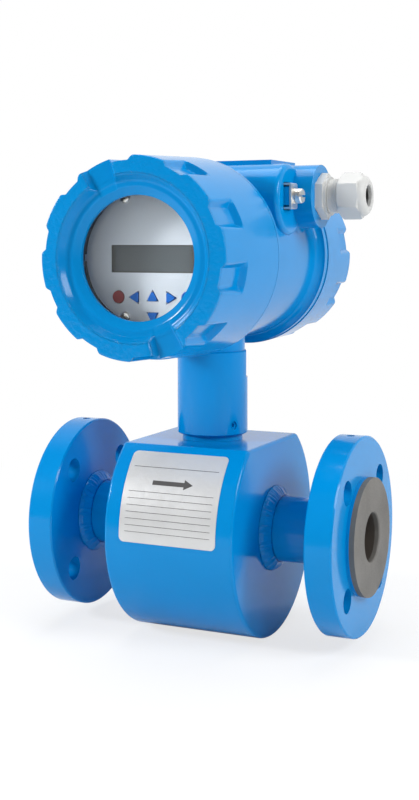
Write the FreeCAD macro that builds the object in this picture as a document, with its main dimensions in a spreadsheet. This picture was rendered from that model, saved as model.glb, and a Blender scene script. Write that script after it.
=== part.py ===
# Electromagnetic flow meter, DN 25, with its transmitter head on a neck tube.
#
# Frame: X along the pipe, Z up, Y to the back. The origin lies on the pipe axis,
# straight below the axis of the neck. The head's axis runs along Y.
# Every size in millimetres is a named cell of the sheet; RELATIONS says what
# follows from those cells, and each sub-part has its own function.
import FreeCAD, Part
import math
import os
import re

import Sketcher

SIZES = (
    # measuring tube, liner and flanges
    ("face_to_face", 200),
    ("bore_diameter", 28),
    ("liner_wall", 3),
    ("liner_flare", 3),
    ("liner_edge", 1),
    ("tube_wall", 2),
    ("flange_diameter", 115),
    ("flange_thickness", 16),
    ("flange_edge", 0.8),
    ("raised_face_diameter", 68),
    ("raised_face_height", 2),
    ("bolt_circle", 85),
    ("bolt_hole", 14),
    ("rim_hole", 5),
    ("rim_hole_depth", 9),
    ("weld_size", 6),
    # coil housing, a drum with a flat top
    ("drum_length", 80),
    ("drum_radius", 64),
    ("drum_flat", 51),
    ("drum_wall", 2),
    ("drum_front_bend", 1.5),
    ("drum_rear_bend", 7),
    ("end_plate", 3),
    ("end_plate_edge", 2),
    ("label_width", 60),
    ("label_angle", 49),
    ("label_start", -1.3),
    ("label_thickness", 0.25),
    ("label_corner", 3),
    # magnet system and electrodes
    ("electrode_radius", 3),
    ("electrode_length", 18),
    ("electrode_stand", 0.1),
    ("bush_radius", 5),
    ("bush_shoulder", 7.5),
    ("bush_height", 5),
    ("pole_radius", 10),
    ("coil_radius", 21),
    ("coil_height", 16),
    ("coil_base", 21.5),
    ("coil_gap", 0.5),
    ("yoke_radius", 47),
    ("yoke_wall", 3),
    ("yoke_width", 24),
    # neck
    ("neck_diameter", 42.2),
    ("neck_wall", 3),
    ("neck_gap", 3.5),
    ("neck_drop", 6.4),
    ("neck_edge", 0.6),
    ("neck_flat_height", 16),
    ("neck_flat_depth", 1.2),
    ("neck_flat_angle", -34),
    ("neck_play", 0.08),
    ("stub_height", 22),
    ("stub_wall", 3.5),
    ("seal_cord", 1.1),
    ("seal_play", 0.02),
    ("seal_squeeze", 0.2),
    ("neck_seal_height", 15),
    ("set_screw_height", 6),
    ("set_screw_radius", 2.5),
    ("set_screw_sink", 1.2),
    ("set_screw_angle", 60),
    # transmitter head casting
    ("head_height", 160.4),
    ("barrel_radius", 50),
    ("barrel_wall", 6),
    ("front_seat", 37.2),
    ("front_collar_step", 7.2),
    ("front_collar_width", 2.7),
    ("rear_step", 45),
    ("rear_seat", 50),
    ("rear_collar_step", 5.5),
    ("step_fillet", 5),
    ("spigot_step", 0.9),
    ("spigot_length", 22),
    ("partition_front", 16),
    ("partition_thickness", 4),
    ("conduit_back", 20),
    ("conduit_drop", 14.7),
    ("conduit_boss_radius", 18.7),
    ("conduit_boss_stand", 12),
    ("conduit_thread", 10),
    ("boss_fillet", 3),
    ("swell_radius", 21),
    ("swell_back", -0.5),
    ("swell_drop", 2.3),
    ("swell_stand", 0.4),
    ("swell_edge", 3),
    ("pad_length", 74),
    ("pad_front", 2),
    ("pad_back", 42),
    ("pad_thickness", 2.9),
    ("pad_stand", 6.8),
    ("pad_web", 50),
    ("block_front", 12),
    ("block_back", 2),
    ("block_low_drop", 20.4),
    ("block_high_drop", 9.9),
    ("block_stand", 3.4),
    ("neck_boss_radius", 19.5),
    ("neck_spigot_length", 16),
    ("wire_bore", 12),
    # screwed covers
    ("cover_seam", 0.5),
    ("cover_play", 0.4),
    ("cover_edge", 0.8),
    ("front_cover_depth", 69),
    ("front_rim_step", 4.9),
    ("rear_cover_depth", 46),
    ("rear_rim_step", 4.9),
    ("rear_cover_step", 6),
    ("cavity_inset", 4),
    ("rear_face_wall", 6),
    ("band_inset", 5),
    ("floor_inset", 8.3),
    ("floor_depth", 4.7),
    ("funnel_inset", 11.7),
    ("funnel_depth", 2.5),
    ("window_inset", 16.2),
    ("window_lip", 2),
    ("bar_slot_angle", 15.3),
    ("front_slot_turn", 23.6),
    ("rear_slot_turn", 20),
    ("notch_count", 10),
    ("front_notch_turn", 1.7),
    ("rear_notch_turn", -11),
    ("notch_width", 10.2),
    ("notch_floor_step", 2.2),
    ("front_notch_length", 27),
    ("rear_notch_length", 20),
    ("seal_groove_depth", 2.4),
    ("seal_groove_width", 2.8),
    ("seal_groove_offset", 2),
    ("glass_inset", 10),
    ("glass_thickness", 6),
    ("glass_play", 0.2),
    ("ring_thickness", 4),
    ("ring_inset", 8),
    ("ring_opening_inset", 14),
    # display and electronics behind the window
    ("display_front", 78),
    ("plate_inset", 7.4),
    ("plate_thickness", 2),
    ("screw_column_x", 16.7),
    ("screw_row_z", 32.8),
    ("screw_head_radius", 3),
    ("screw_head_height", 1.6),
    ("screw_shank_radius", 1.5),
    ("standoff_radius", 3.2),
    ("board_thickness", 1.6),
    ("board_inset", 9),
    ("board_gap", 5),
    ("module_inset", 10),
    ("module_depth", 34),
    ("lcd_width", 51),
    ("lcd_height", 15.2),
    ("lcd_centre_z", -0.6),
    ("lcd_frame", 4),
    ("lcd_recess", 0.5),
    ("key_pitch", 10.5),
    ("key_row_z", -21.7),
    ("key_lower_z", -32),
    ("key_size", 6.6),
    ("key_corner", 0.8),
    ("round_key_radius", 3.4),
    ("key_stand", 0.6),
    ("key_play", 0.3),
    ("key_flange", 1),
    ("key_travel", 0.5),
    # terminals in the rear compartment
    ("terminal_width", 60),
    ("terminal_height", 20),
    ("terminal_depth", 16),
    ("terminal_count", 8),
    ("terminal_screw_radius", 2.4),
    # cable entry and blanking plug
    ("hex_size", 24),
    ("gland_hex_height", 4.5),
    ("gland_collar", 1.5),
    ("gland_collar_radius", 11.6),
    ("thread_radius", 9.9),
    ("entry_thread_length", 12),
    ("gland_thread_length", 17),
    ("gland_bore_radius", 6.5),
    ("gland_nut_start", 10),
    ("gland_nut_length", 19.5),
    ("gland_nut_dome", 6),
    ("gland_nut_bore", 6),
    ("gland_play", 0.3),
    ("gland_seal_radius", 8.6),
    ("gland_seal_bore", 5.5),
    ("plug_head_height", 5),
    # outside earth terminal
    ("saddle_gap", 0.3),
    ("saddle_wall", 1.2),
    ("saddle_height", 15),
    ("saddle_leg", 5),
    ("saddle_play", 0.3),
    ("saddle_room", 0.6),
    ("washer_height", 1.3),
    ("washer_radius", 4.4),
    ("earth_screw_radius", 2.5),
    ("earth_screw_play", 0.08),
    ("earth_screw_length", 16),
    ("earth_head_radius", 4.3),
    ("earth_head_height", 3.6),
    ("earth_slot_width", 1.2),
    ("earth_slot_depth", 1.8),
)

RELATIONS = {
    "half_length": "face_to_face / 2",
    "bore_radius": "bore_diameter / 2",
    "liner_radius": "bore_radius + liner_wall",
    "tube_radius": "liner_radius + tube_wall",
    "raised_radius": "raised_face_diameter / 2",
    "flange_radius": "flange_diameter / 2",
    "raised_face": "half_length - liner_flare",
    "flange_face": "raised_face - raised_face_height",
    "flange_back": "flange_face - flange_thickness",
    "drum_half": "drum_length / 2",
    "plate_inside": "drum_half - end_plate",
    "yoke_inside": "yoke_radius - yoke_wall",
    "neck_radius": "neck_diameter / 2",
    "neck_inside": "neck_radius - neck_wall",
    "stub_radius": "neck_inside - neck_play",
    "neck_bottom": "drum_flat + neck_gap",
    "neck_top": "head_height - barrel_radius - neck_drop",
    "neck_length": "neck_top - neck_bottom",
    "neck_rise": "head_height - neck_top",
    "barrel_inside": "barrel_radius - barrel_wall",
    "front_collar_radius": "barrel_radius + front_collar_step",
    "rear_collar_radius": "barrel_radius + rear_collar_step",
    "spigot_radius": "barrel_radius + spigot_step",
    "conduit_rise": "barrel_radius - conduit_drop",
    "conduit_boss_reach": "barrel_radius + conduit_boss_stand",
    "swell_reach": "barrel_radius + swell_stand",
    "pad_top": "barrel_radius + pad_stand",
    "block_low": "barrel_radius - block_low_drop",
    "block_high": "barrel_radius - block_high_drop",
    "block_reach": "barrel_radius + block_stand",
    "front_rim_radius": "barrel_radius + front_rim_step",
    "rear_rim_radius": "barrel_radius + rear_rim_step",
    "rear_cover_radius": "barrel_radius + rear_cover_step",
    "cover_cavity_radius": "barrel_radius - cavity_inset",
    "band_inner_radius": "barrel_radius - band_inset",
    "floor_outer_radius": "barrel_radius - floor_inset",
    "funnel_radius": "barrel_radius - funnel_inset",
    "window_radius": "barrel_radius - window_inset",
    "notch_floor_radius": "barrel_radius + notch_floor_step",
    "glass_radius": "barrel_radius - glass_inset",
    "ring_radius": "barrel_radius - ring_inset",
    "ring_opening": "barrel_radius - ring_opening_inset",
    "plate_radius": "barrel_radius - plate_inset",
    "board_radius": "barrel_radius - board_inset",
    "module_radius": "barrel_radius - module_inset",
    "partition_back": "partition_front - partition_thickness",
    "cover_thread": "spigot_radius + cover_play",
    "front_face": "front_seat + front_cover_depth",
    "rear_face": "rear_seat + rear_cover_depth",
    "floor_face": "front_face - floor_depth",
    "lip_front": "floor_face - funnel_depth",
    "lip_back": "lip_front - window_lip",
    "glass_back": "lip_back - glass_thickness",
    "ring_back": "glass_back - ring_thickness",
    "groove_radius": "cover_thread + seal_groove_depth",
    "seal_middle": "seal_groove_offset + seal_groove_width / 2",
    "display_back": "display_front - plate_thickness",
    "board_front": "display_back - board_gap",
    "key_bore": "round_key_radius + key_play",
    "conduit_z": "head_height + conduit_rise",
    "block_middle_y": "-(block_front + block_back) / 2",
    "block_middle_z": "head_height + (block_low + block_high) / 2",
    "saddle_front": "saddle_gap + saddle_wall",
    "washer_front": "saddle_front + washer_height",
}

V = FreeCAD.Vector
X_AXIS = V(1, 0, 0)
Y_AXIS = V(0, 1, 0)
Z_AXIS = V(0, 0, 1)
HEAD = ("0", "0", "head_height")

doc = FreeCAD.newDocument("FlowMeter")
sheet = doc.addObject("Spreadsheet::Sheet", "Sizes")
for row, (alias, number) in enumerate(SIZES, start=1):
    sheet.set("A%d" % row, alias)
    sheet.set("B%d" % row, str(number))
    sheet.setAlias("B%d" % row, alias)
doc.recompute()
ALIASES = {alias for alias, number in SIZES}


# ---- small helpers: expressions, sketches and features ----

def bind(text):
    """Expression text in which each word stands for its cell of the sheet."""
    def swap(match):
        word = match.group(0)
        if word in RELATIONS:
            return "(" + bind(RELATIONS[word]) + ")"
        return "Sizes." + word if word in ALIASES else word
    return re.sub(r"[a-z][a-z_]*", swap, text)


def val(text):
    """The present value of such a text."""
    return float(sheet.evalExpression(bind(text)))


def new_body(label, at=("0", "0", "0"), axis=None, turn="0"):
    """A body named after its piece, placed and turned by expressions."""
    body = doc.addObject("PartDesign::Body", label)
    body.Label = label
    if axis:
        body.Placement = FreeCAD.Placement(V(0, 0, 0), FreeCAD.Rotation(axis, val(turn)))
        body.setExpression("Placement.Rotation.Angle", bind(turn))
    for letter, text in zip("xyz", at):
        if text != "0":
            body.setExpression("Placement.Base." + letter, bind(text))
    return body


def new_sketch(body, name, plane, lift="0", turn=None):
    """A sketch on one of the body's origin planes, lifted along its normal."""
    sketch = body.newObject("Sketcher::SketchObject", name)
    support = [part for part in body.Origin.OriginFeatures if part.Role == plane][0]
    sketch.AttachmentSupport = (support, [""])
    sketch.MapMode = "FlatFace"
    if turn:
        rotation = FreeCAD.Rotation(Z_AXIS, val(turn))
        sketch.AttachmentOffset = FreeCAD.Placement(V(0, 0, 0), rotation)
        sketch.setExpression("AttachmentOffset.Rotation.Angle", bind(turn))
    if lift != "0":
        sketch.setExpression("AttachmentOffset.Base.z", bind(lift))
    return sketch


def hold(sketch, shape, point, x, y):
    """Fix one point of a shape at two expressions."""
    for kind, text, axis in (("DistanceX", x, -2), ("DistanceY", y, -1)):
        if text == "0":
            sketch.addConstraint(Sketcher.Constraint("PointOnObject", shape, point, axis))
            continue
        rule = Sketcher.Constraint(kind, -1, 1, shape, point, val(text))
        number = sketch.addConstraint(rule)
        sketch.setExpression("Constraints[%d]" % number, bind(text))


def draw_outline(sketch, points):
    """A closed outline of straight lines through points given as expressions."""
    first = sketch.GeometryCount
    count = len(points)
    spots = [V(val(x), val(y), 0) for x, y in points]
    for i in range(count):
        sketch.addGeometry(Part.LineSegment(spots[i], spots[(i + 1) % count]), False)
    for i in range(count):
        following = first + (i + 1) % count
        sketch.addConstraint(Sketcher.Constraint("Coincident", first + i, 2, following, 1))
    for i, (x, y) in enumerate(points):
        hold(sketch, first + i, 1, x, y)


def draw_box(sketch, x, y, wide, high):
    """An upright rectangle about the point x, y."""
    left = "%s - (%s) / 2" % (x, wide)
    right = "%s + (%s) / 2" % (x, wide)
    low = "%s - (%s) / 2" % (y, high)
    top = "%s + (%s) / 2" % (y, high)
    draw_outline(sketch, [(left, low), (right, low), (right, top), (left, top)])


def draw_circle(sketch, x, y, radius):
    circle = Part.Circle(V(val(x), val(y), 0), Z_AXIS, val(radius))
    shape = sketch.addGeometry(circle, False)
    hold(sketch, shape, 3, x, y)
    number = sketch.addConstraint(Sketcher.Constraint("Radius", shape, val(radius)))
    sketch.setExpression("Constraints[%d]" % number, bind(radius))


def draw_hexagon(sketch, across, first_corner=0):
    """A regular hexagon about the origin, given its width across flats."""
    points = []
    for corner in range(6):
        angle = first_corner + 60 * corner
        arm = "(%s) / sqrt(3)" % across
        points.append(("%s * cos(%d)" % (arm, angle), "%s * sin(%d)" % (arm, angle)))
    draw_outline(sketch, points)


def draw_drum(sketch, radius, flat):
    """A circle about the pipe axis, cut off level at the height of the flat."""
    lean = math.asin(val(flat) / val(radius))
    half = math.sqrt(val(radius) ** 2 - val(flat) ** 2)
    circle = Part.Circle(V(0, 0, 0), Z_AXIS, val(radius))
    arc = sketch.addGeometry(Part.ArcOfCircle(circle, math.pi - lean, 2 * math.pi + lean), False)
    right_corner = V(half, val(flat), 0)
    left_corner = V(-half, val(flat), 0)
    top = sketch.addGeometry(Part.LineSegment(right_corner, left_corner), False)
    sketch.addConstraint(Sketcher.Constraint("Coincident", arc, 3, -1, 1))
    sketch.addConstraint(Sketcher.Constraint("Coincident", arc, 2, top, 1))
    sketch.addConstraint(Sketcher.Constraint("Coincident", top, 2, arc, 1))
    sketch.addConstraint(Sketcher.Constraint("Horizontal", top))
    number = sketch.addConstraint(Sketcher.Constraint("Radius", arc, val(radius)))
    sketch.setExpression("Constraints[%d]" % number, bind(radius))
    number = sketch.addConstraint(Sketcher.Constraint("DistanceY", -1, 1, top, 1, val(flat)))
    sketch.setExpression("Constraints[%d]" % number, bind(flat))


def turned(body, name, points, plane="YZ_Plane", axis="H_Axis", cut=False, angle=None):
    """Turn an outline about an axis of its sketch, or cut such a shape away."""
    sketch = new_sketch(body, name + "Sketch", plane)
    draw_outline(sketch, points)
    kind = "PartDesign::Groove" if cut else "PartDesign::Revolution"
    feature = body.newObject(kind, name)
    feature.Profile = sketch
    feature.ReferenceAxis = (sketch, [axis])
    feature.Angle = 360
    if angle:
        feature.setExpression("Angle", bind(angle))
    return feature


def raised(body, name, sketch, length, both=False, back=False):
    """A pad along the sketch's normal, or centred on it."""
    pad = body.newObject("PartDesign::Pad", name)
    pad.Profile = sketch
    pad.setExpression("Length", bind(length))
    pad.Midplane = both
    pad.Reversed = back
    return pad


def sunk(body, name, sketch, depth=None, both=False, forward=False):
    """A pocket against the sketch's normal; without a depth it goes right through."""
    pocket = body.newObject("PartDesign::Pocket", name)
    pocket.Profile = sketch
    if depth:
        pocket.setExpression("Length", bind(depth))
    else:
        pocket.Type = "ThroughAll"
    pocket.Midplane = both
    pocket.Reversed = forward
    return pocket


def repeated(body, feature, axis, count, name):
    """Repeat a feature round one of the body's axes."""
    pattern = body.newObject("PartDesign::PolarPattern", name)
    pattern.Originals = [feature]
    line = [part for part in body.Origin.OriginFeatures if part.Role == axis][0]
    pattern.Axis = (line, [""])
    pattern.Angle = 360
    pattern.setExpression("Occurrences", bind(count))
    body.Tip = pattern
    return pattern


def rounded(body, name, radius, pick):
    """Round the edges of the body so far for which pick(edge) is true."""
    doc.recompute()
    base = body.Tip
    names = ["Edge%d" % (i + 1) for i, edge in enumerate(base.Shape.Edges) if pick(edge)]
    fillet = body.newObject("PartDesign::Fillet", name)
    fillet.Base = (base, names)
    fillet.setExpression("Radius", bind(radius))
    return fillet


def near(a, b):
    return abs(a - b) < 1e-3


def ring_edge(edge, letter, place, radius):
    """True for a round edge at one place along an axis with the given radius."""
    curve = edge.Curve
    if not isinstance(curve, Part.Circle) or not near(curve.Radius, val(radius)):
        return False
    return near(getattr(curve.Center, letter), val(place))


def along_x(edge, side):
    """True for a straight edge along X on the side y < 0 (-1) or y > 0 (1)."""
    box = edge.BoundBox
    return box.XLength > 1 and box.YLength < 1e-3 and box.ZLength < 1e-3 and side * box.YMin > 0


# ---- measuring tube, liner and flanges ----

def measuring_tube():
    body = new_body("measuring_tube")
    turned(body, "TubeWall", [
        ("-raised_face", "liner_radius"),
        ("raised_face", "liner_radius"),
        ("raised_face", "tube_radius"),
        ("-raised_face", "tube_radius"),
    ], plane="XZ_Plane")
    sketch = new_sketch(body, "ElectrodeHoleSketch", "XZ_Plane")
    draw_circle(sketch, "0", "0", "bush_radius")
    sunk(body, "ElectrodeHoles", sketch, both=True)


def flange(label, turn):
    """A slip-on flange with its weld to the tube, drilled on the bolt circle."""
    body = new_body(label, axis=Z_AXIS, turn=turn)
    turned(body, "Disc", [
        ("flange_back - weld_size", "tube_radius"),
        ("flange_back - weld_size * 0.4", "tube_radius + weld_size * 0.75"),
        ("flange_back", "tube_radius + weld_size"),
        ("flange_back", "flange_radius - flange_edge"),
        ("flange_back + flange_edge", "flange_radius"),
        ("flange_face - flange_edge", "flange_radius"),
        ("flange_face", "flange_radius - flange_edge"),
        ("flange_face", "raised_radius"),
        ("raised_face", "raised_radius"),
        ("raised_face", "tube_radius"),
    ], plane="XZ_Plane")
    sketch = new_sketch(body, "BoltHoleSketch", "YZ_Plane")
    draw_circle(sketch, "bolt_circle / 2 * cos(45)", "bolt_circle / 2 * sin(45)", "bolt_hole / 2")
    hole = sunk(body, "BoltHole", sketch, both=True)
    repeated(body, hole, "X_Axis", "4", "BoltHoles")
    sketch = new_sketch(body, "RimHoleSketch", "XY_Plane", lift="flange_radius")
    draw_circle(sketch, "(flange_back + flange_face) / 2", "0", "rim_hole / 2")
    sunk(body, "RimHole", sketch, depth="rim_hole_depth")


def rubber_liner():
    """The sleeve that lines the tube, with a hole for each electrode."""
    body = new_body("rubber_liner")
    turned(body, "Lining", [
        ("-raised_face", "bore_radius"),
        ("raised_face", "bore_radius"),
        ("raised_face", "liner_radius"),
        ("-raised_face", "liner_radius"),
    ], plane="XZ_Plane")
    sketch = new_sketch(body, "ElectrodeHoleSketch", "XZ_Plane")
    draw_circle(sketch, "0", "0", "electrode_radius")
    sunk(body, "ElectrodeHoles", sketch, both=True)


def liner_face(label, turn):
    """The flared end of the lining, which seals on the raised face."""
    body = new_body(label, axis=Z_AXIS, turn=turn)
    turned(body, "Flare", [
        ("raised_face", "bore_radius"),
        ("raised_face", "raised_radius"),
        ("half_length", "raised_radius"),
        ("half_length", "bore_radius"),
    ], plane="XZ_Plane")

    def mouth(edge):
        return ring_edge(edge, "x", "half_length", "bore_radius")
    rounded(body, "MouthEdge", "liner_edge", mouth)


# ---- coil housing ----

def housing_shell():
    body = new_body("housing_shell")
    sketch = new_sketch(body, "OutsideSketch", "YZ_Plane")
    draw_drum(sketch, "drum_radius", "drum_flat")
    raised(body, "Outside", sketch, "2 * plate_inside", both=True)
    rounded(body, "FrontBend", "drum_front_bend", lambda edge: along_x(edge, -1))
    rounded(body, "RearBend", "drum_rear_bend", lambda edge: sharp_rear(edge))
    sketch = new_sketch(body, "InsideSketch", "YZ_Plane")
    draw_drum(sketch, "drum_radius - drum_wall", "drum_flat - drum_wall")
    sunk(body, "Inside", sketch, both=True)
    sketch = new_sketch(body, "StubHoleSketch", "XY_Plane")
    draw_circle(sketch, "0", "0", "stub_radius")
    sunk(body, "StubHole", sketch, forward=True)


def sharp_rear(edge):
    """The bend line at the back of the flat, where it meets the round side."""
    half = math.sqrt(val("drum_radius") ** 2 - val("drum_flat") ** 2)
    box = edge.BoundBox
    return along_x(edge, 1) and near(box.YMin, half)


def end_plate(label, turn):
    """A drum end, welded to the tube, with its outer edge ground round."""
    body = new_body(label, axis=Z_AXIS, turn=turn)
    sketch = new_sketch(body, "PlateSketch", "YZ_Plane", lift="plate_inside")
    draw_drum(sketch, "drum_radius", "drum_flat")
    raised(body, "Plate", sketch, "end_plate")
    side = -1 if turn == "0" else 1
    half = math.sqrt(val("drum_radius") ** 2 - val("drum_flat") ** 2)

    def front(edge):
        return along_x(edge, side) and near(abs(edge.BoundBox.YMin), half)

    def rear(edge):
        return along_x(edge, -side) and near(abs(edge.BoundBox.YMin), half)

    def outer(edge):
        box = edge.BoundBox
        return box.XLength < 1e-3 and near(box.XMin, val("drum_half"))
    rounded(body, "FrontCorner", "drum_front_bend", front)
    rounded(body, "RearCorner", "drum_rear_bend", rear)
    rounded(body, "OuterEdge", "end_plate_edge", outer)
    sketch = new_sketch(body, "TubeHoleSketch", "YZ_Plane")
    draw_circle(sketch, "0", "0", "tube_radius")
    sunk(body, "TubeHole", sketch, both=True)
    turned(body, "Weld", [
        ("drum_half", "tube_radius"),
        ("drum_half + weld_size", "tube_radius"),
        ("drum_half + weld_size * 0.4", "tube_radius + weld_size * 0.75"),
        ("drum_half", "tube_radius + weld_size"),
    ], plane="XZ_Plane")


def neck_stub():
    """The short tube welded into the flat, with a groove for its seal ring."""
    body = new_body("neck_stub", at=("0", "0", "drum_flat"))
    turned(body, "StubWall", [
        ("stub_radius - stub_wall", "-drum_wall"),
        ("stub_radius", "-drum_wall"),
        ("stub_radius", "neck_seal_height - seal_cord * 1.2"),
        ("stub_radius - seal_cord * 2", "neck_seal_height - seal_cord * 1.2"),
        ("stub_radius - seal_cord * 2", "neck_seal_height + seal_cord * 1.2"),
        ("stub_radius", "neck_seal_height + seal_cord * 1.2"),
        ("stub_radius", "stub_height"),
        ("stub_radius - stub_wall", "stub_height"),
    ], plane="XZ_Plane", axis="V_Axis")


def rating_label():
    """A foil label that follows the front of the drum."""
    body = new_body("rating_label", axis=X_AXIS, turn="90 - label_start")
    feature = turned(body, "Foil", [
        ("-label_width / 2", "drum_radius"),
        ("label_width / 2", "drum_radius"),
        ("label_width / 2", "drum_radius + label_thickness"),
        ("-label_width / 2", "drum_radius + label_thickness"),
    ], plane="XZ_Plane", angle="label_angle")
    feature.Reversed = True

    def corner(edge):
        return near(edge.Length, val("label_thickness"))
    rounded(body, "Corners", "label_corner", corner)


# ---- magnet system and electrodes ----

def pole(label, turn):
    """A steel pole core that reaches from the tube to the yoke."""
    body = new_body(label, axis=X_AXIS, turn=turn)
    sketch = new_sketch(body, "CoreSketch", "XY_Plane")
    draw_circle(sketch, "0", "0", "pole_radius")
    raised(body, "Core", sketch, "sqrt(yoke_inside * yoke_inside - pole_radius * pole_radius)")
    sketch = new_sketch(body, "SaddleSketch", "YZ_Plane")
    draw_circle(sketch, "0", "0", "tube_radius")
    sunk(body, "Saddle", sketch, both=True)


def coil(label, turn):
    body = new_body(label, axis=X_AXIS, turn=turn)
    turned(body, "Winding", [
        ("pole_radius + coil_gap", "coil_base"),
        ("coil_radius", "coil_base"),
        ("coil_radius", "coil_base + coil_height"),
        ("pole_radius + coil_gap", "coil_base + coil_height"),
    ], plane="XZ_Plane", axis="V_Axis")


def return_yoke():
    body = new_body("return_yoke")
    turned(body, "Band", [
        ("-yoke_width / 2", "yoke_inside"),
        ("yoke_width / 2", "yoke_inside"),
        ("yoke_width / 2", "yoke_radius"),
        ("-yoke_width / 2", "yoke_radius"),
    ], plane="XZ_Plane")


def electrode(label, turn):
    """A round pin whose tip stands just inside the bore."""
    body = new_body(label, axis=Z_AXIS, turn=turn)
    turned(body, "Pin", [
        ("bore_radius - electrode_stand", "0"),
        ("bore_radius - electrode_stand", "electrode_radius"),
        ("bore_radius - electrode_stand + electrode_length", "electrode_radius"),
        ("bore_radius - electrode_stand + electrode_length", "0"),
    ])


def electrode_bush(label, turn):
    """The insulating bush that holds an electrode in the tube wall."""
    body = new_body(label, axis=Z_AXIS, turn=turn)
    turned(body, "Bush", [
        ("liner_radius + coil_gap", "electrode_radius"),
        ("liner_radius + coil_gap", "bush_radius"),
        ("tube_radius", "bush_radius"),
        ("tube_radius", "bush_shoulder"),
        ("tube_radius + bush_height", "bush_shoulder"),
        ("tube_radius + bush_height", "electrode_radius"),
    ])


# ---- neck ----

def neck_tube():
    body = new_body("neck_tube", at=("0", "0", "neck_bottom"), axis=Z_AXIS, turn="set_screw_angle")
    turned(body, "NeckWall", [
        ("neck_inside", "0"),
        ("neck_radius - neck_edge", "0"),
        ("neck_radius", "neck_edge"),
        ("neck_radius", "neck_length - neck_edge"),
        ("neck_radius - neck_edge", "neck_length"),
        ("neck_inside", "neck_length"),
    ], plane="XZ_Plane", axis="V_Axis")
    sketch = new_sketch(body, "SetScrewSketch", "XZ_Plane")
    draw_circle(sketch, "0", "set_screw_height", "set_screw_radius")
    sunk(body, "SetScrewHole", sketch, forward=True)
    flat_start = "neck_length - neck_flat_height"
    sketch = new_sketch(body, "WrenchFlatSketch", "XY_Plane", flat_start, "neck_flat_angle")
    draw_outline(sketch, [
        ("neck_radius - neck_flat_depth", "-neck_radius"),
        ("neck_radius + neck_flat_depth", "-neck_radius"),
        ("neck_radius + neck_flat_depth", "neck_radius"),
        ("neck_radius - neck_flat_depth", "neck_radius"),
    ])
    sunk(body, "WrenchFlat", sketch, forward=True)


def neck_set_screw():
    body = new_body("neck_set_screw", ("0", "0", "neck_bottom + set_screw_height"),
                    Z_AXIS, "set_screw_angle")
    turned(body, "Shank", [
        ("-neck_radius + set_screw_sink", "0"),
        ("-neck_radius + set_screw_sink", "set_screw_radius"),
        ("-stub_radius - neck_play * 2", "set_screw_radius"),
        ("-stub_radius - neck_play * 2", "0"),
    ])
    sketch = new_sketch(body, "SocketSketch", "XZ_Plane", lift="neck_radius - set_screw_sink")
    draw_hexagon(sketch, "set_screw_radius")
    sunk(body, "Socket", sketch, depth="(neck_wall - set_screw_sink) * 0.7")


def seal_section(across, along, half):
    """Eight corners of a squeezed O-ring; half is half its thickness."""
    corner = "%s * tan(22.5)" % half
    steps = ((1, corner), (corner, 1), ("-" + corner, 1), (-1, corner),
             (-1, "-" + corner), ("-" + corner, -1), (corner, -1), (1, "-" + corner))

    def reach(step):
        return {1: half, -1: "-(%s)" % half}.get(step, step)
    return [("%s + %s" % (across, reach(u)), "%s + %s" % (along, reach(v))) for u, v in steps]


def neck_seal():
    """The O-ring between the sensor's stub and the neck."""
    body = new_body("neck_seal", at=("0", "0", "drum_flat + neck_seal_height"))
    half = "(seal_cord - seal_play)"
    points = seal_section("stub_radius - seal_cord", "0", half)
    turned(body, "Ring", points, plane="XZ_Plane", axis="V_Axis")


def cover_seal(label, middle):
    """An O-ring that stands across the head's axis, inside a cover."""
    body = new_body(label, at=("0", middle, "head_height"))
    radius = "cover_thread + seal_groove_depth / 2 - seal_squeeze"
    turned(body, "Ring", seal_section("0", radius, "seal_cord"))


# ---- transmitter head casting ----

def head_housing():
    body = new_body("head_housing", at=HEAD)
    turned(body, "Barrel", [
        ("-front_seat - spigot_length", "0"),
        ("-front_seat - spigot_length", "spigot_radius"),
        ("-front_seat", "spigot_radius"),
        ("-front_seat", "front_collar_radius"),
        ("-front_seat + front_collar_width", "front_collar_radius"),
        ("-front_seat + front_collar_width", "barrel_radius"),
        ("rear_step", "barrel_radius"),
        ("rear_step", "rear_collar_radius"),
        ("rear_seat", "rear_collar_radius"),
        ("rear_seat", "spigot_radius"),
        ("rear_seat + spigot_length", "spigot_radius"),
        ("rear_seat + spigot_length", "0"),
    ])
    rounded(body, "RearCove", "step_fillet",
            lambda edge: ring_edge(edge, "y", "rear_step", "barrel_radius"))
    rounded(body, "FrontCove", "step_fillet",
            lambda edge: ring_edge(edge, "y", "-front_seat + front_collar_width", "barrel_radius"))
    pad_on_top(body)
    sketch = new_sketch(body, "ConduitBossSketch", "YZ_Plane")
    draw_circle(sketch, "conduit_back", "conduit_rise", "conduit_boss_radius")
    raised(body, "ConduitBosses", sketch, "2 * conduit_boss_reach", both=True)
    rounded(body, "BossRoots", "boss_fillet", boss_root)
    side_swells(body)
    earth_block(body)
    neck_socket(body)
    compartments(body)
    sketch = new_sketch(body, "ConduitSketch", "YZ_Plane")
    draw_circle(sketch, "conduit_back", "conduit_rise", "conduit_thread")
    sunk(body, "ConduitThreads", sketch, both=True)
    sketch = new_sketch(body, "WireBoreSketch", "XY_Plane")
    draw_circle(sketch, "0", "0", "wire_bore")
    sunk(body, "WireBore", sketch)


def boss_root(edge):
    """The curves where the conduit bosses leave the barrel, on both sides."""
    curved = not isinstance(edge.Curve, (Part.Circle, Part.Line))
    return curved and edge.BoundBox.XLength > val("boss_fillet")


def pad_on_top(body):
    """A flat cast pad above the barrel on a narrower web."""
    middle = "(pad_front + pad_back) / 2"
    deep = "(pad_back - pad_front)"
    sketch = new_sketch(body, "PadSketch", "XY_Plane", lift="pad_top")
    draw_box(sketch, "0", middle, "pad_length", deep)
    raised(body, "Pad", sketch, "pad_thickness", back=True)
    sketch = new_sketch(body, "WebSketch", "XY_Plane", lift="pad_top")
    draw_box(sketch, "0", middle, "pad_web", deep)
    raised(body, "Web", sketch, "pad_top - barrel_inside", back=True)


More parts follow.
